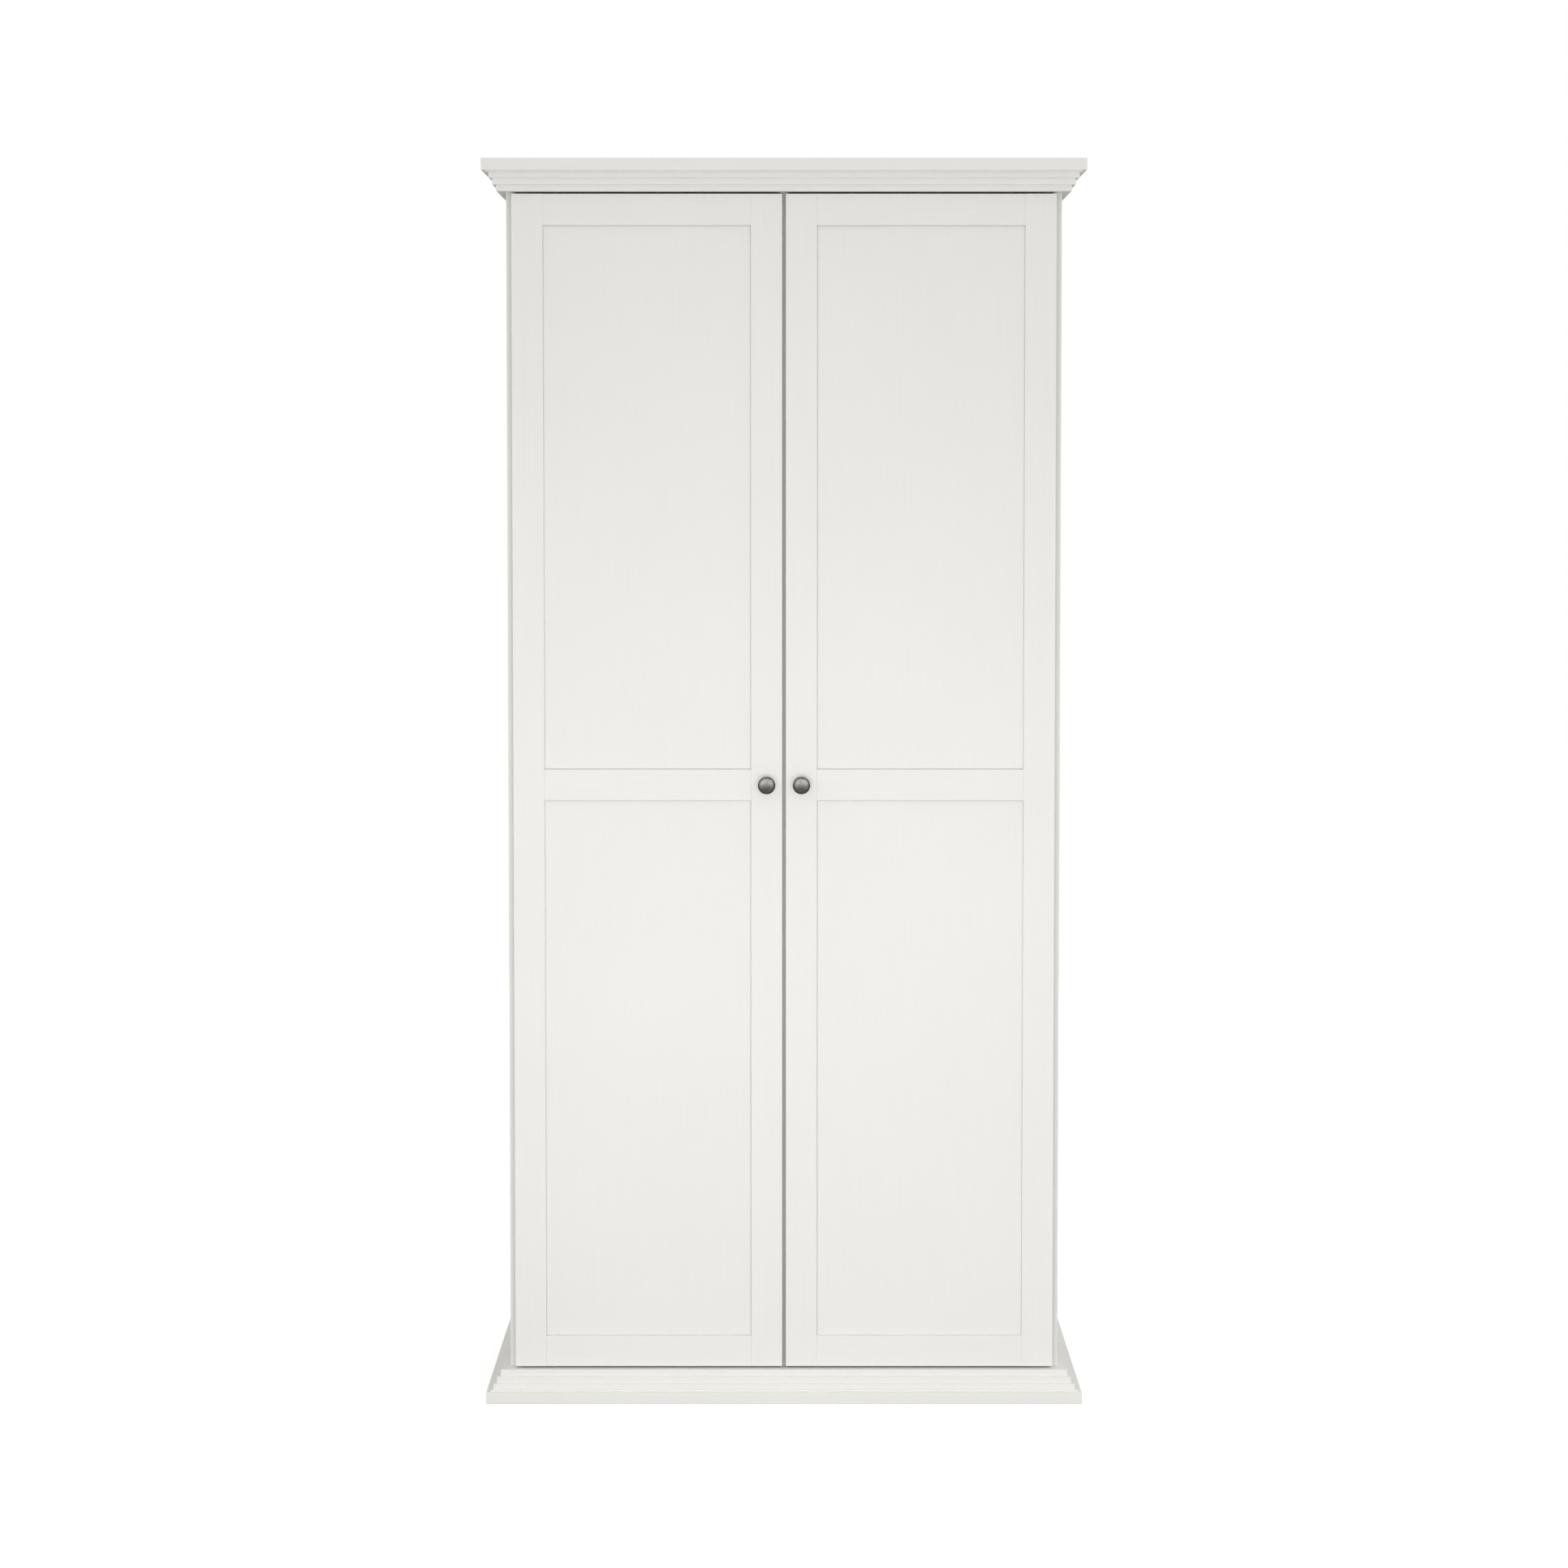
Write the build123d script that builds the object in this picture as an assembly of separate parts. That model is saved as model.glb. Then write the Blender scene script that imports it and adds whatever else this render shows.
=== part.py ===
from build123d import *

import os
from math import atan2, degrees

# Two-door wardrobe with a stepped cornice and plinth, in millimetres.
# X runs to the right, Y to the back and Z up. The origin is on the floor, in the middle of the base plate.

# Overall size
width = 962.0
depth = 584.0
height = 2000.0

# Boards
plate_thickness = 19.0
board_thickness = 15.0
back_thickness = 3.0
side_inset = 36.0          # from a plate's end to the outer face of the side panel
back_panel_gap = 0.5       # left open round each back panel

# Stepped moulding: each step's inset from the plate's edge, and how far it reaches from the plate's face
moulding_steps = ((6.5, 2.5), (11.0, 11.6), (16.4, 22.1), (22.3, 32.0))
moulding_height = moulding_steps[-1][1]
moulding_arris = 0.8       # bevel on the outer corner of each step

# Doors
door_front_inset = 36.0    # from the plates' front edge to the doors' front faces
door_thickness = 18.0
door_back_gap = 3.0        # between a closed door and the front edges of the carcass
door_end_gap = 3.0         # above and below a door
door_side_reveal = 9.5     # side panel that shows beside a door
door_centre_gap = 6.0
frame_width = 50.0
mid_rail_height = 1000.0   # middle of the middle rail, above the floor
groove_width = 6.0
groove_depth = 8.0
panel_thickness = 5.8
panel_tongue = 7.0         # how far a panel sits in its grooves
tenon_length = 7.5
hinge_edge_radius = 2.0    # rounds the back edge that turns past the side panel

# Cup hinges: the plan is measured inward from the side panel's inner face and back from its front edge
hinge_heights = (154.0, 1000.0, 1846.0)
pivot_in = 2.5
pivot_back = -11.5
pin_radius = 1.5
pin_half_length = 10.4
pin_running_gap = 0.05
eye_radius = 2.25
cup_in = 15.0
cup_radius = 17.4
cup_wall = 1.0
cup_depth = 13.0
cup_hole_gap = 0.1
flange_thickness = 1.5
wing_in = 9.5              # from the middle of the cup to the middle of its two screw wings
wing_width = 14.0
wing_length = 62.0
wing_bevel = 4.0
lug_width = 6.0
lug_height = 6.5
lug_clear = 6.6            # from the middle of the hinge to the face of a lug
arm_half_width = 6.0
arm_gauge = 3.0
arm_riser_in = 14.0
arm_crank_start = 9.0
arm_crank_end = 19.0
arm_bed = 2.2
arm_back_in = 11.0
arm_bend_bevel = 2.5
plate_rail_width = 10.0
plate_rail_top = 8.0
plate_front = 24.0
plate_rear = 60.0
plate_base = 2.0
plate_wing_back = 37.0     # line of the plate's two screws
plate_wing_width = 12.0
plate_wing_length = 50.0
plate_base_width = 16.0
slot_gap = 0.2
spring_gauge = 0.6
spring_half_width = 3.5
spring_reach = 28.0
spring_lip = 3.0

# Knobs
knob_diameter = 28.0
knob_reach = 22.0
knob_foot_radius = 7.5
knob_foot_height = 2.5
knob_neck_radius = 5.5
knob_neck_height = 6.5
knob_rim_start = 13.0
knob_rim_end = 16.5
knob_rim_bevel = 1.0
knob_dome_shares = (1.0, 0.75, 0.45, 0.15)   # of the dome's radius, from its rim to its top
knob_screw_radius = 2.0
knob_screw_depth = 12.0
knob_screw_hole = 2.2
knob_screw_head_radius = 4.0
knob_screw_head_height = 2.4

# Inside
shelf_setback = 40.0       # from the front edges of the carcass to a shelf's front edge
shelf_side_gap = 0.5
shelf_rear_gap = 1.0
hat_shelf_underside = 1683.0
right_shelf_undersides = (403.0, 787.0, 1203.0, 1587.0)
shelf_pin_radius = 2.5
shelf_pin_hold = 8.0       # in the board
shelf_pin_reach = 9.0      # under the shelf
shelf_pin_front = -150.0
shelf_pin_rear = 240.0
rail_width = 15.0
rail_height = 30.0
rail_wall = 1.2
rail_drop = 68.0           # from the hat shelf's underside to the middle of the rail
rail_y = 27.0
rail_end_gap = 2.5
socket_gap = 0.2
socket_wall = 2.5
socket_base = 2.0
socket_depth = 10.0

# Carcass joints at both ends of each upright
dowel_radius = 4.0
dowel_in_plate = 11.0
dowel_in_board = 19.0
dowel_end_gap = 1.0
dowel_places = (-170.0, 220.0)
cam_place = 25.0
cam_radius = 7.5
cam_depth = 12.0
cam_from_end = 34.0
cam_bolt_radius = 3.5
cam_bolt_gap = 0.3

# Wall brackets
bracket_x = 220.0
bracket_leg = 30.0
bracket_width = 30.0
bracket_gauge = 2.0
bracket_hole_radius = 3.0
bracket_hole_drop = 20.0   # wall screw below the top plate's underside
bracket_screw_in = 20.0    # fixing screw in front of the back panel

# Planes of the assembly
half_width = width / 2
plate_front_y = -depth / 2
plate_rear_y = depth / 2
floor_z = plate_thickness
roof_z = height - plate_thickness
door_front_y = plate_front_y + door_front_inset
door_back_y = door_front_y + door_thickness
carcass_front_y = door_back_y + door_back_gap
carcass_rear_y = plate_rear_y - back_thickness
side_outer_x = half_width - side_inset
side_inner_x = side_outer_x - board_thickness
partition_x = board_thickness / 2
door_hinge_x = side_outer_x - door_side_reveal
door_lock_x = door_centre_gap / 2
door_bottom_z = floor_z + moulding_height + door_end_gap
door_top_z = roof_z - moulding_height - door_end_gap
groove_front_y = (door_front_y + door_back_y - groove_width) / 2
groove_back_y = groove_front_y + groove_width
rail_z = hat_shelf_underside - rail_drop
bracket_hole_z = roof_z - bracket_hole_drop

# Small fittings have flat sides, which keeps the many of them light
peg_sides = 8
disc_sides = 12
knob_sides = 28

X_AXIS = (1, 0, 0)
Y_AXIS = (0, 1, 0)
Z_AXIS = (0, 0, 1)


def board(x_range, y_range, z_range):
    """A flat board between two values along each axis."""
    ranges = (x_range, y_range, z_range)
    middle = [(low + high) / 2 for low, high in ranges]
    size = [high - low for low, high in ranges]
    return Pos(*middle) * Box(*size)


def rod(start, direction, radius, length):
    """A round bar from a point along a direction."""
    return extrude(Plane(origin=start, z_dir=direction) * Circle(radius), amount=length)


def peg(start, direction, radius, length, sides=peg_sides):
    """A bar with flat sides from a point along a direction; the radius is that of its flats."""
    outline = RegularPolygon(radius, sides, major_radius=False, rotation=180 / sides)
    return extrude(Plane(origin=start, z_dir=direction) * outline, amount=length)


def prism(points, z_low, z_high):
    """An upright prism over a plan outline."""
    plan = make_face(Polyline(*points, close=True))
    return extrude(Pos(0, 0, z_low) * plan, amount=z_high - z_low)


def flipped(shape):
    """The same piece on the other side of the wardrobe."""
    return mirror(shape, about=Plane.YZ)


def upside_down(shape):
    """The same piece at the other end of the wardrobe."""
    return mirror(shape, about=Plane.XY.offset(height / 2))


def moulding_section(back_inset):
    """Section of the moulding: steps that draw back from the plate, each with its corner taken off."""
    points = [(back_inset, 0)]
    step_foot = 0.0
    for inset, step_top in moulding_steps:
        points.append((inset, step_foot))
        points.append((inset, step_top - moulding_arris))
        points.append((inset + moulding_arris, step_top))
        step_foot = step_top
    points.append((back_inset, moulding_height))
    return make_face(Polyline(*points, close=True))


def front_moulding():
    """Front strip of the plinth, mitred at both ends and deep enough to reach the carcass."""
    start = Plane(origin=(-half_width, plate_front_y, floor_z), x_dir=Y_AXIS, z_dir=X_AXIS)
    strip = extrude(start * moulding_section(carcass_front_y - plate_front_y), amount=width)
    mitre_y = plate_front_y + side_inset
    plan = [
        (-half_width, plate_front_y),
        (half_width, plate_front_y),
        (side_outer_x, mitre_y),
        (side_outer_x, carcass_front_y),
        (-side_outer_x, carcass_front_y),
        (-side_outer_x, mitre_y),
    ]
    return strip & prism(plan, floor_z, floor_z + moulding_height)


def left_moulding():
    """Left strip of the plinth, mitred at the front and square at the back."""
    start = Plane(origin=(-half_width, plate_rear_y, floor_z), x_dir=X_AXIS, z_dir=(0, -1, 0))
    strip = extrude(start * moulding_section(side_inset), amount=depth)
    plan = [
        (-half_width, plate_front_y),
        (-side_outer_x, plate_front_y + side_inset),
        (-side_outer_x, plate_rear_y),
        (-half_width, plate_rear_y),
    ]
    return strip & prism(plan, floor_z, floor_z + moulding_height)


def end_joints():
    """The dowels, cam locks and cam bolts of all uprights, and what is drilled out for them."""
    dowels = []
    cams = []
    bolts = []
    drilled_plate = []
    drilled_boards = []
    cam_z = floor_z + cam_from_end
    uprights = (
        (-side_inner_x - partition_x, -side_inner_x, -1),
        (0.0, partition_x, -1),
        (side_inner_x + partition_x, side_inner_x, 1),
    )
    for middle_x, cam_face_x, into in uprights:
        for y in dowel_places:
            low = floor_z - dowel_in_plate
            whole = dowel_in_plate + dowel_in_board
            dowels.append(peg((middle_x, y, low), Z_AXIS, dowel_radius, whole))
            drilled_plate.append(
                peg((middle_x, y, low - dowel_end_gap), Z_AXIS, dowel_radius, dowel_in_plate + dowel_end_gap)
            )
            drilled_boards.append(
                peg((middle_x, y, floor_z), Z_AXIS, dowel_radius, dowel_in_board + dowel_end_gap)
            )
        bolt_start = (middle_x, cam_place, floor_z - dowel_in_plate)
        bolt_length = dowel_in_plate + cam_from_end
        cam_hole = peg((cam_face_x, cam_place, cam_z), (into, 0, 0), cam_radius, cam_depth, disc_sides)
        channel = peg(
            (middle_x, cam_place, floor_z), Z_AXIS, cam_bolt_radius + cam_bolt_gap, cam_from_end
        )
        bolts.append(peg(bolt_start, Z_AXIS, cam_bolt_radius, bolt_length))
        cams.append(cam_hole - channel)
        drilled_plate.append(peg(bolt_start, Z_AXIS, cam_bolt_radius, dowel_in_plate))
        drilled_boards.append(cam_hole + channel)
    ends = (dowels, cams, bolts, drilled_boards)
    both = [group + [upside_down(piece) for piece in group] for group in ends]
    return both[0], both[1], both[2], both[3], drilled_plate


def shelf_pins(faces, underside):
    """The four pins under one shelf; each face is its place on X and the direction into the board."""
    pins = []
    holes = []
    for face_x, into in faces:
        for y in (shelf_pin_front, shelf_pin_rear):
            middle = (face_x - into * shelf_pin_reach, y, underside - shelf_pin_radius)
            whole = shelf_pin_reach + shelf_pin_hold
            pins.append(peg(middle, (into, 0, 0), shelf_pin_radius, whole))
            hole_start = (face_x, y, underside - shelf_pin_radius)
            holes.append(peg(hole_start, (into, 0, 0), shelf_pin_radius, shelf_pin_hold))
    return pins, holes


def shelf(x_range, underside):
    """A shelf board between two uprights."""
    return board(
        (x_range[0] + shelf_side_gap, x_range[1] - shelf_side_gap),
        (carcass_front_y + shelf_setback, carcass_rear_y - shelf_rear_gap),
        (underside, underside + board_thickness),
    )


def oval_bar(start_x, toward, rail_growth, length):
    """An upright oval bar along X, as large as the hanging rail plus a growth all round."""
    place = Plane(origin=(start_x, rail_y, rail_z), x_dir=Z_AXIS, z_dir=(toward, 0, 0))
    oval = SlotOverall(rail_height + 2 * rail_growth, rail_width + 2 * rail_growth)
    return extrude(place * oval, amount=length)


def hanging_rail():
    """Oval steel tube that spans the left half."""
    start = -side_inner_x + rail_end_gap
    length = side_inner_x - partition_x - 2 * rail_end_gap
    return oval_bar(start, 1, 0, length) - oval_bar(start, 1, -rail_wall, length)


def rail_socket(face_x, toward):
    """End socket of the hanging rail: an oval cup screwed to the board through its floor."""
    cup = oval_bar(face_x, toward, socket_gap + socket_wall, socket_depth)
    return cup - oval_bar(face_x + toward * socket_base, toward, socket_gap, socket_depth)


def wall_bracket(x):
    """Steel angle under the top plate, with a hole for a screw into the wall."""
    x_range = (x - bracket_width / 2, x + bracket_width / 2)
    upright = board(
        x_range, (carcass_rear_y - bracket_gauge, carcass_rear_y), (roof_z - bracket_leg, roof_z)
    )
    flat = board(
        x_range, (carcass_rear_y - bracket_leg, carcass_rear_y), (roof_z - bracket_gauge, roof_z)
    )
    fixing = (x, carcass_rear_y - bracket_screw_in, roof_z - bracket_gauge)
    bracket = upright + flat
    bracket -= peg(fixing, Z_AXIS, bracket_hole_radius, bracket_gauge)
    bracket -= wall_screw_hole(x)
    return bracket


def wall_screw_hole(x):
    """What a wall screw's hole takes out of a bracket and of the back panel behind it."""
    return rod(
        (x, carcass_rear_y - bracket_gauge, bracket_hole_z),
        Y_AXIS,
        bracket_hole_radius,
        bracket_gauge + back_thickness,
    )


def hinge_plan(z):
    """Plan plane of a left-hand hinge, with its origin at the side panel's inner front edge."""
    return Plane(origin=(-side_inner_x, carcass_front_y, z), x_dir=X_AXIS, z_dir=Z_AXIS)


def hinge_bar(z, outline, z_low, z_high):
    """A prism over part of a left-hand hinge's plan, between two heights about its middle."""
    return extrude(hinge_plan(z + z_low) * outline, amount=z_high - z_low)


def rectangle(x_low, x_high, y_low, y_high):
    """A rectangle between two values along each axis."""
    middle = Pos((x_low + x_high) / 2, (y_low + y_high) / 2)
    return middle * Rectangle(x_high - x_low, y_high - y_low)


def hinge_arm(z):
    """Cranked arm: an eye on the pin, a hook out of the cup, and a channel over the mounting plate."""
    half_gauge = arm_gauge / 2
    riser_out = arm_riser_in + arm_gauge
    crank_shift = riser_out - arm_back_in
    outer_bend = (riser_out, pivot_back - half_gauge)
    corners = [
        (pivot_in, pivot_back - half_gauge),
        outer_bend,
        (riser_out, arm_crank_start),
        (arm_back_in, arm_crank_end),
        (arm_back_in, plate_rear),
        (arm_bed, plate_rear),
        (arm_bed, plate_front),
        (arm_riser_in - crank_shift, arm_crank_end - half_gauge),
        (arm_riser_in, arm_crank_start - half_gauge),
        (arm_riser_in, pivot_back + half_gauge),
        (pivot_in, pivot_back + half_gauge),
    ]
    plan = make_face(Polyline(*corners, close=True))
    bend = plan.vertices().sort_by_distance(outer_bend)[0]
    plan = chamfer(bend, arm_bend_bevel)
    plan += Pos(pivot_in, pivot_back) * RegularPolygon(eye_radius, peg_sides, major_radius=False)
    bore = RegularPolygon(pin_radius + pin_running_gap, disc_sides, major_radius=False)
    plan -= Pos(pivot_in, pivot_back) * bore
    arm = hinge_bar(z, plan, -arm_half_width, arm_half_width)
    slot = rectangle(0, plate_rail_top + slot_gap, arm_crank_end, plate_rear)
    half_slot = plate_rail_width / 2 + slot_gap / 2
    return arm - hinge_bar(z, slot, -half_slot, half_slot)


def hinge_plate(z):
    """Mounting plate on the side panel, with two screw wings and the rail that the arm clips over."""
    half_base = plate_base_width / 2
    half_wing = plate_wing_length / 2
    half_rail = plate_rail_width / 2
    base = rectangle(0, plate_base, plate_front, plate_rear)
    wings = rectangle(
        0, plate_base, plate_wing_back - plate_wing_width / 2, plate_wing_back + plate_wing_width / 2
    )
    rail = rectangle(0, plate_rail_top, plate_front, plate_rear)
    plate = hinge_bar(z, base, -half_base, half_base)
    plate += hinge_bar(z, wings, -half_wing, half_wing)
    return plate + hinge_bar(z, rail, -half_rail, half_rail)


def cup_place(z):
    """Where the middle of a left-hand cup meets the door's back face."""
    return (-side_inner_x + cup_in, door_back_y, z)


def hinge_cup(z):
    """Cup let into the door, with a raised rim, two screw wings and two lugs that hold the pin."""
    middle = cup_place(z)
    into_door = (0, -1, 0)
    rim = Plane(origin=middle, x_dir=X_AXIS, z_dir=Y_AXIS)
    wings = Rectangle(wing_width, wing_length)
    wings = Pos(wing_in, 0) * chamfer(wings.vertices(), wing_bevel)
    mouth = (middle[0], door_back_y + flange_thickness, z)
    cup = extrude(rim * wings, amount=flange_thickness)
    cup += rod(mouth, into_door, cup_radius, cup_depth + flange_thickness)
    cup -= rod(mouth, into_door, cup_radius - cup_wall, cup_depth + flange_thickness - cup_wall)
    body = rod(middle, into_door, cup_radius - cup_wall / 2, cup_depth)
    cup_floor = door_back_gap + cup_depth - cup_wall / 2
    lug = rectangle(
        pivot_in - lug_width / 2, pivot_in + lug_width / 2, -cup_floor, lug_height - cup_floor
    )
    for side in (-1, 1):
        ends = sorted((side * lug_clear, side * cup_radius))
        cup += hinge_bar(z, lug, *ends) & body
    return cup - peg(pin_start(z), Z_AXIS, pin_radius, 2 * pin_half_length)


def pin_start(z):
    """Lower end of a left-hand hinge's pin."""
    return (-side_inner_x + pivot_in, carcass_front_y + pivot_back, z - pin_half_length)


def hinge_pin(z):
    """Pin that the hinge arm's eye turns on, held by the cup's two lugs."""
    return rod(pin_start(z), Z_AXIS, pin_radius, 2 * pin_half_length)


def hinge_spring(z):
    """Leaf spring on the floor of the cup, turned up at its far end."""
    low = -door_back_gap - cup_depth + cup_wall
    corners = [
        (0, low),
        (spring_reach, low),
        (spring_reach, low + spring_lip),
        (spring_reach - spring_gauge, low + spring_lip),
        (spring_reach - spring_gauge, low + spring_gauge),
        (0, low + spring_gauge),
    ]
    leaf = make_face(Polyline(*corners, close=True))
    return hinge_bar(z, leaf, -spring_half_width, spring_half_width)


def hinge_stile():
    """Stile on the hinge side: grooved, drilled for the cups and rounded on its back edge."""
    edge_x = -door_hinge_x
    y_range = (door_front_y, door_back_y)
    stile = board((edge_x, edge_x + frame_width), y_range, (door_bottom_z, door_top_z))
    back_edge = stile.edges().filter_by(Axis.Z).sort_by_distance((edge_x, door_back_y, mid_rail_height))[0]
    stile = fillet(back_edge, hinge_edge_radius)
    stile -= stile_groove(edge_x + frame_width - groove_depth)
    for z in hinge_heights:
        stile -= rod(cup_place(z), (0, -1, 0), cup_radius + cup_hole_gap, cup_depth + cup_hole_gap)
    return stile


def lock_stile():
    """Stile at the middle of the wardrobe: grooved, and drilled for the knob's screw."""
    inner_x = -door_lock_x - frame_width
    y_range = (door_front_y, door_back_y)
    stile = board((inner_x, -door_lock_x), y_range, (door_bottom_z, door_top_z))
    stile -= stile_groove(inner_x)
    return stile - peg(knob_place(), Y_AXIS, knob_screw_hole, door_thickness)


def stile_groove(x_low):
    """Groove along the whole of a stile's inner edge."""
    return board(
        (x_low, x_low + groove_depth), (groove_front_y, groove_back_y), (door_bottom_z, door_top_z)
    )


def door_rail(z_low, grooved_below, grooved_above):
    """Rail between the stiles, with a stub tenon at each end and grooves for the panels."""
    x_low = -door_hinge_x + frame_width
    x_high = -door_lock_x - frame_width
    z_high = z_low + frame_width
    groove_y = (groove_front_y, groove_back_y)
    rail = board((x_low, x_high), (door_front_y, door_back_y), (z_low, z_high))
    tenon_low = z_low
    tenon_high = z_high
    if grooved_below:
        rail -= board((x_low, x_high), groove_y, (z_low, z_low + groove_depth))
        tenon_low += groove_depth
    if grooved_above:
        rail -= board((x_low, x_high), groove_y, (z_high - groove_depth, z_high))
        tenon_high -= groove_depth
    return rail + board(
        (x_low - tenon_length, x_high + tenon_length), groove_y, (tenon_low, tenon_high)
    )


def door_panel(z_low, z_high):
    """Thin panel held in the grooves all round."""
    middle_y = (groove_front_y + groove_back_y) / 2
    return board(
        (-door_hinge_x + frame_width - panel_tongue, -door_lock_x - frame_width + panel_tongue),
        (middle_y - panel_thickness / 2, middle_y + panel_thickness / 2),
        (z_low - panel_tongue, z_high + panel_tongue),
    )


def knob_place():
    """Where the left knob meets the door's front face."""
    return (-door_lock_x - frame_width / 2, door_front_y, mid_rail_height)


def knob_rings():
    """Radius and height of the knob's rings: foot, neck, rim and then the dome up to its top."""
    rim_radius = knob_diameter / 2
    dome_edge = rim_radius - knob_rim_bevel
    dome_rise = knob_reach - knob_rim_end - knob_rim_bevel
    dome_radius = (dome_edge**2 + dome_rise**2) / (2 * dome_rise)
    rings = [
        (knob_foot_radius, 0),
        (knob_foot_radius, knob_foot_height),
        (knob_neck_radius, knob_neck_height),
        (rim_radius, knob_rim_start),
        (rim_radius, knob_rim_end),
    ]
    for share in knob_dome_shares:
        radius = share * dome_edge
        rings.append((radius, knob_reach - dome_radius + (dome_radius**2 - radius**2) ** 0.5))
    return rings


def knob_band(ring, next_ring):
    """The stretch of an upright knob between two rings, tapered from the wider ring to the narrower."""
    wide, narrow = sorted((ring, next_ring), reverse=True)
    rise = narrow[1] - wide[1]
    taper = degrees(atan2(wide[0] - narrow[0], abs(rise)))
    outline = RegularPolygon(wide[0], knob_sides, major_radius=False)
    band = extrude(outline, amount=abs(rise), taper=taper)
    turn = Rot(0, 0, 0) if rise > 0 else Rot(180, 0, 0)
    return Pos(0, 0, wide[1]) * turn * band


def knob():
    """Mushroom knob: a foot, a waisted neck, a flat rim and a low dome, bored for its screw."""
    rings = knob_rings()
    bands = [knob_band(ring, next_ring) for ring, next_ring in zip(rings, rings[1:])]
    upright = bands[0] + bands[1:]
    outward = Plane(origin=knob_place(), x_dir=X_AXIS, z_dir=(0, -1, 0))
    screw_hole = peg(knob_place(), (0, -1, 0), knob_screw_radius, knob_screw_depth)
    return outward.location * upright - screw_hole


def knob_screw():
    """Screw through the stile into the knob, with its round head on the door's back face."""
    x, y, z = knob_place()
    shank = peg((x, y - knob_screw_depth, z), Y_AXIS, knob_screw_radius, knob_screw_depth + door_thickness)
    head = peg((x, door_back_y, z), Y_AXIS, knob_screw_head_radius, knob_screw_head_height, disc_sides)
    return shank + head


def left_door():
    """Every piece that swings with the left door, by name."""
    mid_low = mid_rail_height - frame_width / 2
    mid_high = mid_rail_height + frame_width / 2
    top_low = door_top_z - frame_width
    bottom_high = door_bottom_z + frame_width
    return {
        "door_hinge_stile": hinge_stile(),
        "door_lock_stile": lock_stile(),
        "door_top_rail": door_rail(top_low, True, False),
        "door_mid_rail": door_rail(mid_low, True, True),
        "door_bottom_rail": door_rail(door_bottom_z, False, True),
        "door_upper_panel": door_panel(mid_high, top_low),
        "door_lower_panel": door_panel(bottom_high, mid_low),
        "door_knob": knob(),
        "door_knob_screw": knob_screw(),
        "hinge_cups": Compound([hinge_cup(z) for z in hinge_heights]),
        "hinge_pins": Compound([hinge_pin(z) for z in hinge_heights]),
        "hinge_springs": Compound([hinge_spring(z) for z in hinge_heights]),
    }


def left_hinge_mounts():
    """The hinge pieces that stay on the left side panel, by name."""
    return {
        "hinge_arms": Compound([hinge_arm(z) for z in hinge_heights]),
        "hinge_plates": Compound([hinge_plate(z) for z in hinge_heights]),
    }


def mouldings():
    """The six strips of the plinth and the cornice, by name."""
    front = front_moulding()
    left = left_moulding()
    strips = {"front": front, "left": left, "right": flipped(left)}
    pieces = {}
    for side, strip in strips.items():
        pieces[f"plinth_{side}_moulding"] = strip
        pieces[f"cornice_{side}_moulding"] = upside_down(strip)
    return pieces


def back_panel():
    """Left half of the back, drilled for the wall screw."""
    panel = board(
        (-side_outer_x, -back_panel_gap),
        (carcass_rear_y, plate_rear_y),
        (floor_z + back_panel_gap, roof_z - back_panel_gap),
    )
    return panel - wall_screw_hole(-bracket_x)


def carcass():
    """Every fixed piece apart from the mouldings and the hinges, by name."""
    left_half = (-side_inner_x, -partition_x)
    right_half = (partition_x, side_inner_x)
    left_faces = ((-side_inner_x, -1), (-partition_x, 1))
    right_faces = ((partition_x, -1), (side_inner_x, 1))
    dowels, cams, bolts, drilled_boards, drilled_plate = end_joints()
    pins, pin_holes = shelf_pins(left_faces, hat_shelf_underside)
    for underside in right_shelf_undersides:
        more_pins, more_holes = shelf_pins(right_faces, underside)
        pins += more_pins
        pin_holes += more_holes
    upright_y = (carcass_front_y, carcass_rear_y)
    upright_z = (floor_z, roof_z)
    drilled = drilled_boards + pin_holes
    base = board((-half_width, half_width), (plate_front_y, plate_rear_y), (0, floor_z))
    base -= drilled_plate
    pieces = {
        "base_plate": base,
        "top_plate": upside_down(base),
        "left_side_panel": board((-side_outer_x, -side_inner_x), upright_y, upright_z) - drilled,
        "right_side_panel": board((side_inner_x, side_outer_x), upright_y, upright_z) - drilled,
        "centre_partition": board((-partition_x, partition_x), upright_y, upright_z) - drilled,
        "left_back_panel": back_panel(),
        "right_back_panel": flipped(back_panel()),
        "hat_shelf": shelf(left_half, hat_shelf_underside),
        "hanging_rail": hanging_rail(),
        "rail_sockets": Compound([rail_socket(-side_inner_x, 1), rail_socket(-partition_x, -1)]),
        "shelf_pins": Compound(pins),
        "carcass_dowels": Compound(dowels),
        "cam_locks": Compound(cams),
        "cam_bolts": Compound(bolts),
        "wall_brackets": Compound([wall_bracket(x) for x in (-bracket_x, bracket_x)]),
    }
    for number, underside in enumerate(right_shelf_undersides, start=1):
        pieces[f"right_shelf_{number}"] = shelf(right_half, underside)
    return pieces


def main():
    """Write every piece to its own file."""
    pieces = carcass() | mouldings()
    for name, piece in (left_door() | left_hinge_mounts()).items():
        pieces[f"left_{name}"] = piece
        pieces[f"right_{name}"] = flipped(piece)
    os.makedirs("parts", exist_ok=True)
    for name, piece in pieces.items():
        export_step(piece, f"parts/{name}.step")


main()
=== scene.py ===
import logging
import math
from collections.abc import Iterable, Sequence
from dataclasses import dataclass
from enum import Enum
from typing import Any

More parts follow.
